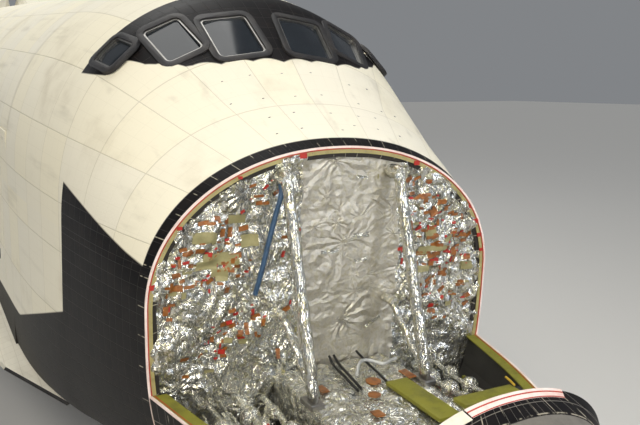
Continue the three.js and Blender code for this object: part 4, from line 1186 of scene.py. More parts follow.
# Columns of lines: side, water, radius. Columns of bottles: side, station, radius, height. Wraps are stations.
pitLook = {
    "lines": [(33, 325, 1.5), (38.5, 322, 1.1), (44, 326, 1.7), (51, 321, 1.2), (56.5, 325, 1.3)],
    "wraps": (331, 345, 359), "cans": 26, "pipes": 9, "redBelow": 2.3,
    "bottles": [
        (35, 334, 3.4, 25), (42.5, 337, 2.2, 27), (48, 333, 3.2, 23), (53, 341, 2.1, 25), (37, 344, 2.2, 26),
        (46, 349, 3.8, 21), (56, 352, 3.0, 20), (40, 357, 2.2, 24), (51, 362, 3.4, 22), (35, 367, 3.0, 24),
    ],
}
# Columns: piece, finish.
pitPieces = {
    "lumps": ("pit_lumps", "whiteTile"), "cans": ("pit_cans", "steel"), "reds": ("pit_caps", "redTag"),
    "pipes": ("pit_pipes", "wrap"), "bottles": ("pit_bottles", "foilFine"),
}


def addCans(made, sign):
    for index in range(pitLook["cans"]):
        aft = (bayFloor["beamAft"] + 4, bayFloor["aft"] - 6)
        station = random.uniform(*(aft if index % 3 else (276, 314)))
        reach = smoothRow(station)[0] * 0.86 - 8
        if reach < 32:
            continue
        side = sign * random.uniform(31, reach)
        size = random.uniform(1.5, 4.5)
        base = bayFloor["floor"] + 1.5
        corner = (side - size / 2, station - size / 2, base)
        top = (side + size / 2, station + size / 2, base + size * random.uniform(0.8, 2.6))
        kind = "reds" if index % 6 == 0 else "cans" if index % 3 else "lumps"
        made[kind].append(roundedBox("can", corner, top, size * 0.18, 3))


def addPipes(made, sign):
    for _ in range(pitLook["pipes"]):
        start, height = random.uniform(330, 372), random.uniform(304, 326)
        far = sign * random.uniform(48, 60)
        places = [
            (sign * 28.5, start, height),
            (sign * 36, start + random.uniform(-5, 5), height + random.uniform(-3, 5)),
            (far, min(372, start + random.uniform(-6, 8)), height + random.uniform(-6, 6)),
            (far, 376, height + random.uniform(-2, 4)),
        ]
        made["pipes"].append(tube("pipe", places, random.uniform(0.5, 1.6), 12))


# Lines from the ledge back to the bulkhead, with foil wrapped round their joints.
def addLines(made, sign):
    for side, height, radius in pitLook["lines"]:
        route = [
            (side, 327, height), (side + 1.5, 345, height - 1.5), (side - 0.5, 362, height - 1),
            (side, 377, height + 0.5),
        ]
        places = [(sign * out, station, water) for out, station, water in route]
        made["pipes"].append(tube("pipe", places, radius, 14))
        for station in pitLook["wraps"]:
            wide = radius + random.uniform(1.4, 2.6)
            long = random.uniform(6.5, 9.5)
            shape = [
                (0.3, 0), (radius + 0.5, 0.3), (wide, 1.8), (wide * 1.1, long * 0.5), (wide * 0.9, long - 1.6),
                (radius + 0.4, long - 0.3), (0.3, long),
            ]
            start = (sign * (side + 0.6), station + random.uniform(-2, 4), height - 1.1)
            made["bottles"].append(spun("wrap", shape, start, (0, 1, 0), 22))


def addBottles(made, sign):
    for side, station, radius, top in pitLook["bottles"]:
        shape = [
            (0.3, 0), (radius * 0.9, 0.4), (radius, 2), (radius, top - 5), (radius * 0.75, top - 2),
            (radius * 0.3, top - 0.6), (0.3, top),
        ]
        foot = (sign * side, station, bayFloor["floor"] + 0.5)
        kind = "reds" if radius < pitLook["redBelow"] else "bottles"
        made[kind].append(spun("bottle", shape, foot, (0, 0, 1), 26))


def makePitClutter():
    random.seed(12)
    made = {kind: [] for kind in pitPieces}
    for sign in (1, -1):
        for job in (addCans, addPipes, addLines, addBottles):
            job(made, sign)
    for kind, (name, finish) in pitPieces.items():
        assemble(made[kind], name, finish)


# A wide olive beam on the box, a ledge across each pit, and ribs on the pits' walls. Boxes: low corner, high corner.
beamBoxes = [
    ((8, 311, 335.4), (18.5, 347, 337.2), 0.4), ((27.3, 319.6, 332.4), (57, 327.4, 334.8), 0.35),
    ((-57, 319.6, 332.4), (-27.3, 327.4, 334.8), 0.35),
]
# Columns: station, reach.
ribRows = [(330, 60), (340, 65), (350, 68), (360, 70), (370, 72)]
tabBoxes = [
    ((19.6, 347, 336.2), (23.4, 355, 336.8)), ((-11, 324, 335.6), (-7, 329, 336.2)),
    ((-20, 350, 336.0), (-16.5, 356, 336.7)), ((-34, 322, 334.8), (-31, 326, 335.3)),
]
# Columns: centre, radius.
tabDiscs = [((4.6, 351, 336.1), 3.2), ((-1.9, 340, 336.1), 2.6)]


def makeBeams():
    parts = [roundedBox("beam", *row) for row in beamBoxes]
    for sign in (1, -1):
        for station, reach in ribRows:
            low, high = sorted((sign * (reach - 4), sign * (reach - 2.4)))
            parts.append(roundedBox("rib", (low, station - 0.8, 308), (high, station + 0.8, 319), 0.25))
    assemble(parts, "bay_beams", "beam")
    tabs = [roundedBox("tab", low, high, 0.15) for low, high in tabBoxes]
    for centre, radius in tabDiscs:
        tabs.append(spun("disc", [(0.2, 0), (radius, 0), (radius, 0.5), (0.2, 0.55)], centre, (0, 0, 1), 28))
    assemble(tabs, "bay_orange_tabs", "tape", None)
    dress(tube("bay_strap", [(58.9, 332, 335.6), (57.6, 328, 335.9), (56.5, 324, 335.7)], 0.5, 8), look["strap"])


def sillEdge(station):
    edge = sillLine(station)
    half, top, widest, bottom, above, below = smoothRow(station)
    drop = (widest - edge) / (widest - bottom)
    return half * max(0.0, 1 - drop ** below) ** (1 / below), edge


# A strip along the bay's edge on both sides: offsets are in from the skin and up from the edge.
def edgeStrip(name, aft, inner, outer, up, high, finish):
    corners = [(inner, up), (outer, up), (outer, up + high), (inner, up + high), (inner, up)]
    pieces = []
    for sign in (1, -1):
        def spotAt(u, v):
            station = sillLook["fore"] + v * (aft - sillLook["fore"])
            inward, rise = alongLoop(corners, u)
            side, edge = sillEdge(station)
            return (sign * (side - inward), station, edge + rise)
        strip = bentGrid(name, spotAt, 4, 60)
        tidyNormals(strip)
        pieces.append(strip)
    assemble(pieces, name, finish)


# The sides of the opening. Columns: piece, aft station, inner offset, outer offset, up, high, finish.
sillLook = {"fore": 269, "strips": [
    ("sill_flange", 377, 0.6, 6.6, 0.02, 0.5, "beam"), ("sill_line", 377, 1.5, 1.9, 0.5, 0.12, "salmon"),
    ("sill_seal", 377.4, -0.15, 0.9, -0.05, 0.6, "pinkSeal"),
]}
# The front edge: a narrow pale strip with two red lines over the nose, and a plain one beyond its break.
# Columns: piece, finish, fore, aft, lift, degrees.
frontRows = [
    ("front_strip", "pinkSeal", 265.2, 268.3, 0.3, (60, 113)),
    ("front_strip_plain", "whiteTile", 264.8, 268.3, 0.34, (114, 176)),
    ("front_line_a", "salmon", 265.2, 265.5, 0.38, (60, 113)),
    ("front_line_b", "salmon", 266.9, 267.3, 0.38, (60, 113)),
]


def makeSills():
    for row in sillLook["strips"]:
        edgeStrip(*row)
    for name, finish, low, high, lift, turn in frontRows:
        assemble([skinGrid(name, (low, high), turn, 3, 60, lift, 0.3)], name, finish)


# Windows and hatch. Frames stand proud of the skin, seals line the holes behind them.

def panePair(name, row, side, grow, low, high, hole):
    piece = panePlate(name, row, grow, low, high, side)
    cutAway(piece, panePlate("tool", row, hole, -8, 8, side))
    return piece


def makeWindows():
    frames, seals = [], []
    for row in paneRows:
        for side in (1, -1):
            frames.append(panePair("frame", row, side, 2.6, -1.6, 0.55, -0.7))
            seals.append(panePair("seal", row, side, 0.1, -2.4, -0.2, -1.6))
    piece = joined(frames, "window_frames")
    modify(piece, "BEVEL", width=0.25 * craft["inch"], segments=2, limit_method="ANGLE")
    smooth(piece, 30)
    dress(piece, look["blackTile"])
    assemble(seals, "window_seals", "steel", 30)


# Columns: body, radius, width.
hatchRings = [("airframe", 20.9, 0.9), ("hatch", 18.6, 0.5)]


def makeHatchRing():
    for body, radius, wide in hatchRings:
        def spotAt(u, v):
            angle = v * 2 * math.pi
            reach = radius + wide * u
            station = hatchLook["station"] + reach * math.cos(angle)
            water = hatchLook["water"] + reach * math.sin(angle)
            half, top, widest, bottom, above, below = hullRow(station)
            drop = abs(water - widest) / (widest - bottom if water < widest else top - widest)
            roundness = below if water < widest else above
            side = half * max(0, 1 - drop ** roundness) ** (1 / roundness) + hatchLook["proud"]
            return (side, station, water)
        piece = bentGrid("hatch_ring_" + body, spotAt, 2, 64)
        modify(piece, "SOLIDIFY", thickness=hatchLook["thick"] * craft["inch"], offset=0)
        tidyNormals(piece)
        smooth(piece)
        dress(piece, look["blackTile"], body)


# Payload bay and its doors

bayLook = {"radius": 90, "centre": 400, "frames": 13, "fore": 600, "aft": 1290}
frameShape = [(0, -1.4), (3.4, -1.4), (3.4, 1.4), (0, 1.4), (0, -1.4)]  # depth from the wall, station
doorLook = {
    "radius": 103, "hinge": 416, "fore": 582.5, "long": 720, "panels": 4, "firstPanel": 590, "panelStep": 178,
    "panelLong": 170, "panelRadius": 97.9, "lines": 13, "lineRadius": 97.5, "latches": 16, "firstLatch": 600,
    "latchStep": 45.5, "latchLow": 496.6, "latchTop": 499,
}
doorStart = math.degrees(math.asin((doorLook["hinge"] - bayLook["centre"]) / doorLook["radius"]))


def roundSpot(station, degrees, radius):
    angle = math.radians(degrees)
    return (radius * math.cos(angle), station, bayLook["centre"] + radius * math.sin(angle))


# A door's own degrees run from its hinge to the top; the right door's are turned over.
def doorSpot(station, degrees, radius, sign):
    return roundSpot(station, degrees if sign > 0 else 180 - degrees, radius)


def makeDoorSkin(sign, label):
    def outside(u, v):
        station = doorLook["fore"] + u * doorLook["long"]
        return doorSpot(station, doorStart + 0.3 + v * (89.7 - doorStart), doorLook["radius"] + 0.12, sign)
    piece = bentGrid(f"door_skin_{label}", outside, 60, 40)
    tidyNormals(piece, 0.001)
    smooth(piece, 30)
    dress(piece, look["hull"], "bay_door_" + label)


# A radiator and the coolant lines along it.
def makeRadiator(sign, label, index):
    low = doorLook["firstPanel"] + index * doorLook["panelStep"]
    high = low + doorLook["panelLong"]

    def inside(u, v):
        degrees = doorStart + 4 + v * (84 - doorStart)
        return doorSpot(low + u * (high - low), degrees, doorLook["panelRadius"], sign)
    name = f"radiator_{label}_{index + 1}"
    panel = bentGrid(name, inside, 30, 24)
    modify(panel, "SOLIDIFY", thickness=0.5 * craft["inch"], offset=0)
    tidyNormals(panel)
    lines = []
    for line in range(doorLook["lines"]):
        degrees = doorStart + 7 + line * (78 - doorStart) / (doorLook["lines"] - 1)
        ends = [doorSpot(station, degrees, doorLook["lineRadius"], sign) for station in (low + 3, high - 3)]
        lines.append(tube("line", ends, 0.22, 8, False))
    piece = joined([panel] + lines, name)
    smooth(piece, 40)
    dress(piece, look["radiator"], "bay_door_" + label)


def makeDoorLatches(sign, label):
    latches = []
    for index in range(doorLook["latches"]):
        station = doorLook["firstLatch"] + index * doorLook["latchStep"]
        side = doorSpot(station, 88.6, 99.2, sign)[0]
        low = (side - 1.2, station - 1.6, doorLook["latchLow"])
        latches.append(roundedBox("latch", low, (side + 1.2, station + 1.6, doorLook["latchTop"]), 0.3))
    dress(joined(latches, f"door_latches_{label}"), look["steel"], "bay_door_" + label)


def makeDoors():
    for sign, label in ((1, "left"), (-1, "right")):
        makeDoorSkin(sign, label)
        for index in range(doorLook["panels"]):
            makeRadiator(sign, label, index)
        makeDoorLatches(sign, label)


# Frames and quilted lining round the bay.
def makeBayLining():
    step = (bayLook["aft"] - bayLook["fore"]) / (bayLook["frames"] - 1)
    frames, quilts = [], []
    for index in range(bayLook["frames"]):
        station = bayLook["fore"] + index * step

        def spotAt(u, v):
            deep, aft = alongLoop(frameShape, u)
            return roundSpot(station + aft, -v * 180, bayLook["radius"] - 0.05 - deep)
        frames.append(bentGrid("frame", spotAt, 4, 60))
    piece = joined(frames, "bay_frames")
    tidyNormals(piece)
    smooth(piece, 40)
    dress(piece, look["primer"])
    for index in range(bayLook["frames"] - 1):
        low = bayLook["fore"] + index * step + 2.2
        high = low + step - 4.4

        def quiltSpot(u, v):
            puff = 0.6 + 1.3 * (math.sin(math.pi * u) * abs(math.sin(math.pi * v * 5))) ** 0.5
            return roundSpot(low + u * (high - low), -2 - v * 176, bayLook["radius"] - puff)
        quilts.append(bentGrid("quilt", quiltSpot, 10, 70))
    piece = joined(quilts, "bay_liner")
    tidyNormals(piece)
    smooth(piece, 60)
    dress(piece, look["liner"])


railLook = {"side": 90, "fore": 584, "aft": 1301, "low": 411.6, "top": 415.4, "firstLatch": 615, "latchStep": 56}


def makeBayRails():
    rails = []
    for sign in (1, -1):
        side = sign * railLook["side"]
        low, high = (side - 2.4, railLook["fore"], railLook["low"]), (side + 2.4, railLook["aft"], railLook["top"])
        rails.append(roundedBox("longeron", low, high, 0.5))
        rails.append(tube("harness", [(sign * 88, 586, 407), (sign * 88, 1298, 407)], 0.8, 8, False))
        for index in range(12):
            station = railLook["firstLatch"] + index * railLook["latchStep"]
            rails.append(roundedBox("latch", (side - 3.6, station - 3, 408), (side + 1, station + 3, 414.6), 0.4))
    rails.append(roundedBox("keel", (-3, bayLook["fore"], 310.2), (3, bayLook["aft"], 313), 0.5))
    assemble(rails, "bay_rails", "gear")


# The cabin's aft wall as seen from the bay: ribs and the collar of its hatch.
wallLook = {"firstRib": -75, "ribStep": 15, "ribs": 11, "fore": 579.5, "aft": 581.6, "low": 325, "top": 470}


def makeCabinWall():
    wall = []
    for index in range(wallLook["ribs"]):
        side = wallLook["firstRib"] + index * wallLook["ribStep"]
        low = (side - 0.7, wallLook["fore"], wallLook["low"])
        wall.append(roundedBox("rib", low, (side + 0.7, wallLook["aft"], wallLook["top"]), 0.3))
    wall.append(spun("collar", [(24, 0), (24, 2.2), (20, 2.6), (20, 0.2)], (0, 579.2, 360), (0, 1, 0), 48))
    assemble(wall, "cabin_wall_ribs", "primer")


# Vents, seams and hinge covers along the flanks
flankLook = {"side": 102.9, "vents": (640, 800, 960, 1130, 1240), "ventWater": 330, "wide": 14, "tall": 7}


def flankBox(name, sign, inner, outer, stations, waters, bevel, segments=2):
    low, high = sorted((sign * inner, sign * outer))
    return roundedBox(name, (low, stations[0], waters[0]), (high, stations[1], waters[1]), bevel, segments)


def makeFlankParts():
    wide, tall, water = flankLook["wide"] / 2, flankLook["tall"] / 2, flankLook["ventWater"]
    vents, lines = [], []
    for sign in (1, -1):
        for station in flankLook["vents"]:
            around = (station - wide, station + wide)
            vents.append(flankBox("vent", sign, 102.7, 103.25, around, (water - tall, water + tall), 0.2))
    dress(joined(vents, "side_vents"), look["blackTile"])
    for sign in (1, -1):
        for station in range(612, 1300, 57):
            around = (station - 0.3, station + 0.3)
            lines.append(flankBox("seam", sign, flankLook["side"], 103.18, around, (318, 410), 0.1, 1))
        lines.append(flankBox("hinge_cover", sign, flankLook["side"], 103.3, (584, 1301), (409.6, 411.8), 0.15))
    dress(joined(lines, "side_seams"), look["whiteTile"])


# Engines. Columns: name, gimbal centre, degrees up, degrees out.
engineRows = [
    ("upper", (0, 1445, 443), 16, 0), ("left", (53, 1468, 342.6), 10, 3.5), ("right", (-53, 1468, 342.6), 10, -3.5),
]
bellRows = [(56, 13), (72, 20), (86, 26), (100, 31), (116, 35.8), (132, 39.5), (150, 42.8), (168, 45.4)]
bellLook = {
    "outer": (60, 66, 72, 79, 86, 93, 100, 108, 116, 124, 132, 141, 150, 159, 167.8), "skin": 0.05,
    "lip": [(44.4, 167.9), (43.9, 167.2)], "inner": (150, 132, 116, 100, 86, 75), "wall": 2.05,
    "throat": [(14, 66), (9.5, 62.5), (2, 61.5)], "hoops": 9, "firstHoop": 72, "hoopStep": 11.4, "proud": 1.2,
    "freeOf": 140, "flush": 0.12, "sides": 20, "finFrom": 88, "finTo": 146,
}
feedLook = {
    "route": [(50, 17.5), (56, 17.5), (66, 21), (84, 28.5)], "pumpAngles": (110, 290), "pumpAt": (50, 15.5),
    "angles": [(20, 2.2), (58, 1.4), (150, 2.6), (200, 1.2), (250, 1.8), (320, 2.4)],
    "pump": [(1, 0), (4.2, 0.5), (4.6, 4), (3.6, 8), (4.6, 12), (4, 15), (2, 16)],
}
shieldLook = {"radius": 54.25, "firstDegree": 15, "step": 3.1, "steps": 11}


def engineWay(up, out):
    a, b = math.radians(up), math.radians(out)
    return Vector((math.sin(b) * math.cos(a), math.cos(b) * math.cos(a), math.sin(a)))


def bellRadius(distance):
    for (a, low), (b, high) in zip(bellRows, bellRows[1:]):
        if distance <= b:
            return low + (distance - a) / (b - a) * (high - low)
    return bellRows[-1][1]


# The upper bell swings up to the fin's root, so its smooth skin and hoops stay under the solid's flat there.
def clearOfFin(piece, centre, way, upward):
    middle, inch = at(*centre), craft["inch"]
    out, up = along(*way), along(*upward)
    for vertex in piece.data.vertices:
        away = (vertex.co - middle) / inch
        distance, height = away.dot(out), away.dot(up)
        limit = bellRadius(distance) * math.cos(math.pi / bellLook["sides"]) - 0.06
        if bellLook["finFrom"] < distance < bellLook["finTo"] and height > limit:
            vertex.co += up * (limit - height) * inch


def makeBellShell(name, centre, way):
    shell = [(bellRadius(d) + bellLook["skin"], d) for d in bellLook["outer"]] + bellLook["lip"]
    shell += [(bellRadius(d) - bellLook["wall"], d) for d in bellLook["inner"]] + bellLook["throat"]
    return spun("bell_shell_" + name, shell, centre, way, 72)


def makeHoops(name, centre, way):
    hoops = []
    for index in range(bellLook["hoops"]):
        d = bellLook["firstHoop"] + index * bellLook["hoopStep"]
        r = bellRadius(d)
        rise = r + (bellLook["proud"] if d < bellLook["freeOf"] else bellLook["flush"])
        ring = [(r - 0.3, d - 1), (rise, d - 0.7), (rise, d + 0.7), (r - 0.3, d + 1)]
        hoops.append(spun("hoop", ring, centre, way, 72))
    hoops.append(spun("lip", [(44.2, 164.9), (45.2, 165.1), (45.55, 167.8), (44.2, 168)], centre, way, 72))
    hoops.append(spun("collar", [(12, 57), (16.5, 58), (17.5, 63), (14, 66)], centre, way, 48))
    return joined(hoops, "bell_hoops_" + name)


# Feed lines and pumps in front of the bell, behind the shield.
def makeFeedLines(name, centre, way, level, upward):
    def place(distance, radius, degrees):
        x, z = radius * math.cos(math.radians(degrees)), radius * math.sin(math.radians(degrees))
        return tuple(Vector(centre) + way * distance + level * x + upward * z)
    lines = []
    for degrees, radius in feedLook["angles"]:
        route = [place(distance, out, degrees) for distance, out in feedLook["route"]]
        lines.append(tube("feed", route, radius, 12))
    for degrees in feedLook["pumpAngles"]:
        lines.append(spun("pump", feedLook["pump"], place(*feedLook["pumpAt"], degrees), way, 20))
    return joined(lines, "feed_lines_" + name)


def makeShield(name, centre, way, body):
    turns = [math.radians(shieldLook["firstDegree"] + step * shieldLook["step"]) for step in range(shieldLook["steps"])]
    radius = shieldLook["radius"]
    shape = [(radius * math.sin(turn), radius * math.cos(turn)) for turn in turns]
    blanket = spun("shield_blanket_" + name, shape, centre, way, 72)
    modify(blanket, "SOLIDIFY", thickness=0.2 * craft["inch"], offset=0)
    tidyNormals(blanket)
    dress(blanket, look["liner"], body)
    ring = spun("shield_seam_" + name, [(36.2, 39.4), (37.6, 39.8), (37.6, 38.3), (36.2, 38.8)], centre, way, 72)
    dress(ring, look["blackTile"], body)


def makeEngines():
    for name, centre, up, out in engineRows:
        way, body = engineWay(up, out), "engine_" + name
        level = way.cross(Vector((0, 0, 1))).normalized()
        upward = level.cross(way).normalized()
        shell = makeBellShell(name, centre, way)
        if name == "upper":
            clearOfFin(shell, centre, way, upward)
        dress(shell, look["nozzle"], body)
        hoops = makeHoops(name, centre, way)
        if name == "upper":
            clearOfFin(hoops, centre, way, upward)
        smooth(hoops, 40)
        dress(hoops, look["steel"], body)
        feeds = makeFeedLines(name, centre, way, level, upward)
        smooth(feeds, 40)
        dress(feeds, look["steel"], body)
        makeShield(name, centre, way, body)


# Pods. Columns: station, side, water, half width, half height.
podRows = [
    (1308, 60, 481, 24, 13), (1330, 63, 485, 41, 30), (1370, 69, 489, 50, 43), (1420, 79, 492, 55, 50),
    (1470, 89, 493, 54, 53), (1515, 96, 492, 50, 51), (1545, 99, 490, 44, 45), (1560, 100, 488, 38, 38),
]
podLook = {
    "roundness": 2.4, "ports": [(1478, 2), (1492, 2), (1506, 2), (1520, 2), (1500, 74), (1512, 74), (1524, 74)],
    "port": [(0.4, -0.5), (3.6, -0.45), (4.4, 1.1), (3.7, 1.1), (3.0, 0.1), (0.3, 0.05)],
    "aftPorts": [(74, 506), (74, 492), (74, 478)], "aftStation": 1559.6,
    "aftPort": [(0.4, -0.3), (3.6, -0.2), (4.6, 4.0), (4.0, 4.0), (3.0, 0.4), (0.3, 0.3)],
    "bands": [(10, 10.0), (18, 13.6), (27, 17.2), (36, 19.8), (45, 21.9)], "nozzle": (98, 1562, 487),
}


def podSpot(station, degrees, lift):
    for low, high in zip(podRows, podRows[1:]):
        if station <= high[0]:
            break
    share = (station - low[0]) / (high[0] - low[0])
    side, water, wide, tall = [a + share * (b - a) for a, b in zip(low[1:], high[1:])]
    angle, roundness = math.radians(degrees), podLook["roundness"]
    across = side + (wide + lift) * power(math.cos(angle), roundness)
    return (across, station, water + (tall + lift) * power(math.sin(angle), roundness))


def makePodPorts(sign, label):
    ports = []
    for station, degrees in podLook["ports"]:
        side, _, water = podSpot(station, degrees, 0.4)
        outward = Vector((sign * math.cos(math.radians(degrees)), 0, math.sin(math.radians(degrees))))
        ports.append(spun("cup", podLook["port"], (sign * side, station, water), outward, 28))
    for side, water in podLook["aftPorts"]:
        ports.append(spun("cup", podLook["aftPort"], (sign * side, podLook["aftStation"], water), (0, 1, 0), 28))
    assemble(ports, "pod_thrusters_" + label, "steel")


def makePods():
    for sign, label in ((1, "left"), (-1, "right")):
        def spotAt(u, v):
            side, station, water = podSpot(1310 + u * 249.5, -30 + v * 170, 0.35)
            return (sign * side, station, water)
        piece = bentGrid("pod_skin_" + label, spotAt, 60, 60)
        tidyNormals(piece)
        smooth(piece, 50)
        dress(piece, look["pod"])
        makePodPorts(sign, label)
        side, station, water = podLook["nozzle"]
        way = engineWay(15.8, sign * 12)
        bands = []
        for d, r in podLook["bands"]:
            band = [(r - 0.6, d - 0.7), (r + 0.5, d - 0.5), (r + 0.5, d + 0.5), (r - 0.6, d + 0.7)]
            bands.append(spun("band", band, (sign * side, station, water), way, 48))
        assemble(bands, "pod_nozzle_bands_" + label, "steel")


# Wheels and landing gear. Columns: radius, width, rim radius.

wheelLook = {"main": (22.25, 15.5, 11), "nose": (16, 8.8, 8), "grooves": 5, "bolts": 9}
mainLeg = {
    "station": 1172, "lines": ((1, 0.5), (-1, 0.4)),
    "route": [(5, 1168, 300), (7.5, 1166, 275), (6.5, 1166, 250), (5, 1168, 236), (6, 1169, 215)],
    "rings": [
        (240, [(6.2, 0), (7.2, 0.3), (7.2, 3.2), (6.2, 3.5)]), (268, [(6.2, 0), (7.0, 0.3), (7.0, 2.2), (6.2, 2.5)]),
    ],
    "links": [((-2.6, 1161, 226), (2.6, 1165, 243)), ((-2.6, 1162, 196), (2.6, 1166, 226))],
}
noseLeg = {
    "station": 367, "lines": ((1, 0.45), (-1, 0.45)),
    "route": [(5, 362, 302), (6.5, 361, 286), (5.5, 362, 268), (5.2, 363, 256)],
    "rings": [(262, [(5, 0), (6, 0.3), (6, 3), (5, 3.3)])], "links": [],
}


def wheelCentre(node):
    low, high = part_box(node)
    middle = (low + high) / 2 - shift
    back = lean.inverted() @ middle
    inch = craft["inch"]
    return (back.x / inch, back.y / inch + craft["station"], back.z / inch + craft["water"])


# Half widths across the tyre are shares of its own half width.
def tyreProfile(radius, half, rim):
    flat = radius * math.cos(math.pi / 24) - 0.02
    wall = [
        (rim, 0.78), (rim + 1.2, 0.95), (radius * 0.7, 0.99), (radius * 0.83, 0.93), (radius * 0.93, 0.78),
        (flat - 0.25, 0.6),
    ]
    profile = [(reach, -half * share) for reach, share in wall]
    grooves = wheelLook["grooves"]
    for index in range(grooves):
        middle = -half * 0.48 + index * half * 0.96 / (grooves - 1)
        for depth, aside in ((0, -0.42), (0.5, -0.3), (0.5, 0.3), (0, 0.42)):
            profile.append((flat - depth, middle + aside))
    return profile + [(reach, half * share) for reach, share in reversed(wall)]


def makeWheel(name, node, body, radius, width, rim):
    side, station, water = wheelCentre(node)
    half = width / 2
    piece = spun(name, tyreProfile(radius, half, rim), (side, station, water), (1, 0, 0), 72)
    dress(piece, look["rubber"], body)
    face = [
        (rim + 0.3, 0.74), (rim + 0.5, 0.92), (rim - 0.7, 0.86), (rim - 1.4, 0.5), (rim * 0.5, 0.42),
        (rim * 0.45, 0.66), (rim * 0.3, 0.7), (0.1, 0.7),
    ]
    hub = []
    for sign in (1, -1):
        shape = [(reach, half * share) for reach, share in face]
        hub.append(spun("rim", shape, (side, station, water), (sign, 0, 0), 48))
        for index in range(wheelLook["bolts"]):
            angle = index * 2 * math.pi / wheelLook["bolts"]
            reach = rim * 0.68
            spot = (side + sign * half * 0.43, station + reach * math.cos(angle), water + reach * math.sin(angle))
            hub.append(spun("bolt", [(0.1, -0.6), (0.75, -0.5), (0.75, 0.9), (0.1, 1.0)], spot, (sign, 0, 0), 8))
    piece = assemble(hub, name + "_hub", "gear", 40, body)
    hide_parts(node)


def makeWheels():
    for label in ("left", "right"):
        for place in ("inner", "outer"):
            node = f"main_wheel_{place}_{label}"
            makeWheel(f"tyre_{place}_{label}", node, "main_wheels_" + label, *wheelLook["main"])
        makeWheel("nose_tyre_" + label, "nose_wheel_" + label, "nose_wheels", *wheelLook["nose"])


# Brake lines down both faces of a leg, with its collars and links.
def makeLegDetail(name, side, leg):
    parts = []
    for way, radius in leg["lines"]:
        places = [(side + way * out, station, water) for out, station, water in leg["route"]]
        parts.append(tube("line", places, radius, 8))
    for water, shape in leg["rings"]:
        parts.append(spun("ring", shape, (side, leg["station"], water), (0, 0, 1), 32))
    for low, high in leg["links"]:
        parts.append(roundedBox("link", (side + low[0], *low[1:]), (side + high[0], *high[1:]), 0.6))
    assemble(parts, name, "steel")


def makeGearDetail():
    makeLegDetail("main_gear_detail_left", 136, mainLeg)
    makeLegDetail("main_gear_detail_right", -136, mainLeg)
    makeLegDetail("nose_gear_detail", 0, noseLeg)


# Seams across the fin, ahead of the rudder
finLook = {
    "seams": (600, 640, 680, 720, 760), "root": 497, "tall": 319, "lead": 1283.5, "sweep": 310, "rootChord": 260,
    "tipChord": 108.5, "thick": 0.0475,
}


def makeFinDetail():
    seams = []
    for water in finLook["seams"]:
        share = (water - finLook["root"]) / finLook["tall"]
        lead = finLook["lead"] + share * finLook["sweep"]
        chord = finLook["rootChord"] + share * (finLook["tipChord"] - finLook["rootChord"])
        half = chord * finLook["thick"]
        aft = lead + 0.6 * chord - half - 4
        for sign in (1, -1):
            fore = (sign * half * 0.5 + sign * 0.05, lead + 0.12 * chord, water)
            places = [fore, (sign * (half + 0.1), lead + 0.42 * chord, water), (sign * (half + 0.1), aft, water)]
            seams.append(tube("seam", places, 0.18, 6, False))
    dress(joined(seams, "fin_seams"), look["blackTile"])


# Finishes of the frame's nodes by the start of their names: the first that fits counts, and the rest are hull.

nodeFinishes = {
    # The nose shell's inner walls take the near-black finish as painted shade of the deep bay.
    "nose_cap": "carbon", "nose_shell": "dark", "cabin_shell": "cabin", "crew_hatch": "cabin",
    "cabin_aft_bulkhead": "primer",
    "flight_deck": "cabinGrey", "body_flap": "blackTile", "pod_nozzle": "nozzle", "pod_": "pod", "fin": "fin",
    "rudder_": "fin", "nose_gear_door": "blackTile", "nose_gear_": "gear", "nose_wheel": "rubber", "window_": "glass",
    "main_engine": "nozzle",
    "gimbal_cross": "gear", "main_gear_leg": "gear", "main_gear_door": "blackTile", "main_wheel": "rubber",
    "wing_edge": "carbon", "wing_": "wing", "elevon_": "wing",
}


def dressNodes():
    for name, piece in nodes.items():
        finish = next((kind for start, kind in nodeFinishes.items() if name.startswith(start)), "hull")
        for slot in piece.material_slots:
            slot.material = look[finish]


# Floor, light and camera

view = {
    "lens": 44.24, "side": -163.39, "station": 100.18, "water": 471.98, "right": (0.8755, -0.4822, 0.0312),
    "down": (-0.0761, -0.2013, -0.9766),
}


def makeStage():
    nothingSelected()
    bpy.ops.mesh.primitive_plane_add(size=400, location=(0, 0, -0.002))
    floor = bpy.context.object
    floor.name = "floor"
    material = bpy.data.materials.new("paleFloor")
    material.use_nodes = True
    shader = material.node_tree.nodes["Principled BSDF"]
    shader.inputs["Base Color"].default_value = tone("d9d7d2")
    shader.inputs["Roughness"].default_value = 0.8
    floor.data.materials.append(material)
    floor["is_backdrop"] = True
    world = bpy.context.scene.world or bpy.data.worlds.new("World")
    bpy.context.scene.world = world
    world.use_nodes = True
    background = world.node_tree.nodes["Background"]
    background.inputs["Color"].default_value = tone("dfe3e8")
    background.inputs["Strength"].default_value = 0.3
    bpy.context.scene.view_settings.view_transform = "Standard"


# Softboxes. Narrow ones ahead of the bulkhead give its foil bright lines.
# Columns: name, place in inches, size in metres, watts, tint, spread in radians; all aim at the nose.
noseLights = [
    ("keyLight", (-330, 60, 760), (6, 5), 600, "fff0cc", 3.14),
    ("fillLight", (320, 100, 640), (6, 6), 290, "eef3ff", 3.14),
    ("leftStrip", (-190, 60, 430), (0.4, 5), 30, "fff8ea", 1.2),
    ("rightStrip", (150, -60, 420), (0.4, 5), 37, "f2f6ff", 1.2),
    ("highStrip", (-20, 80, 640), (5, 0.5), 44, "fffdf6", 1.4),
]
# Columns: name, place and aim in metres, size, watts, tint.
bodyLights = [
    ("topLight", (0, 0, 24), (0, 2, 0), (10, 30), 3000, "fdfcf8"),
    ("aftLight", (-16, 30, 14), (0, 12, 4), (12, 10), 1500, "f6f8ff"),
]
sunLook = {"place": (-6, -10, 20), "turn": (0.75, -0.45, -0.35), "energy": 1.0, "angle": 0.5}


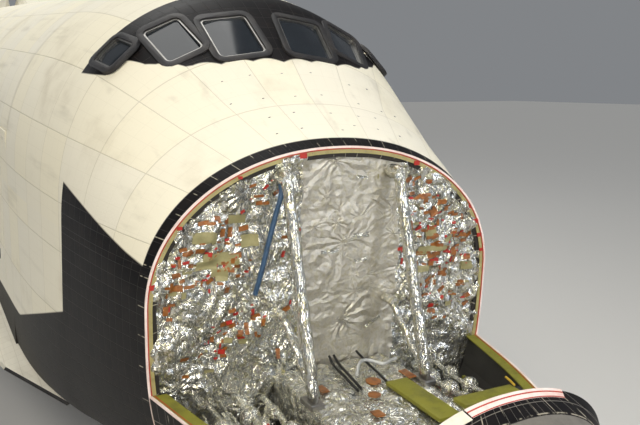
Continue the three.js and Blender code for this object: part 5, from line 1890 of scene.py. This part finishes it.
def areaLight(name, spot, aim, size, energy, tint, spread=3.14):
    nothingSelected()
    bpy.ops.object.light_add(type="AREA", location=spot)
    light = bpy.context.object
    light.name = name
    light.data.shape = "RECTANGLE"
    light.data.size, light.data.size_y = size
    light.data.energy = energy
    light.data.spread = spread
    light.data.color = tone(tint)[:3]
    light.visible_camera = False
    light.rotation_mode = "QUATERNION"
    light.rotation_quaternion = (Vector(aim) - Vector(spot)).to_track_quat("-Z", "Y")


def makeLights():
    for name, spot, size, energy, tint, spread in noseLights:
        areaLight(name, at(*spot), at(0, 378, 380), size, energy, tint, spread)
    for row in bodyLights:
        areaLight(*row)
    nothingSelected()
    bpy.ops.object.light_add(type="SUN", location=sunLook["place"], rotation=sunLook["turn"])
    sun = bpy.context.object
    sun.name = "softSun"
    sun.data.energy, sun.data.angle = sunLook["energy"], sunLook["angle"]


def makeCamera():
    bpy.ops.object.camera_add(location=at(view["side"], view["station"], view["water"]))
    camera = bpy.context.object
    right, down = along(*view["right"]).normalized(), along(*view["down"]).normalized()
    back = right.cross(-down).normalized()
    up = back.cross(right)
    camera.rotation_mode = "QUATERNION"
    camera.rotation_quaternion = Matrix((right, up, back)).transposed().to_quaternion()
    camera.data.lens = view["lens"]
    camera.data.sensor_width = 36
    camera.data.clip_start, camera.data.clip_end = 0.05, 500
    bpy.context.scene.camera = camera


# Making it all

stages = [
    ("stage", [makeStage, makeLights, makeCamera]), ("frame finishes", [dressNodes]),
    ("fuselage skins", [makeNoseCap, makeNoseTiles, makeCabinSkin, makeButtons]), ("rim", [makeRim]),
    ("bulkhead", [makeBulkheadFoil, makePatches, makeStruts, makeHoses]),
    ("nose bay", [makeBoxFoil, makePitFoil, makePitClutter, makeBeams, makeSills]),
    ("cabin", [makeWindows, makeHatchRing]),
    ("payload bay", [makeDoors, makeBayLining, makeBayRails, makeCabinWall, makeFlankParts]),
    ("engines and pods", [makeEngines, makePods]), ("gear", [makeWheels, makeGearDetail]), ("fin", [makeFinDetail]),
]
for label, jobs in stages:
    for job in jobs:
        job()
    print("made:", label)

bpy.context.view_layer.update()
meshes = [piece.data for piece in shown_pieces() if piece.type == "MESH"]
print("triangles:", sum(len(polygon.vertices) - 2 for mesh in meshes for polygon in mesh.polygons))
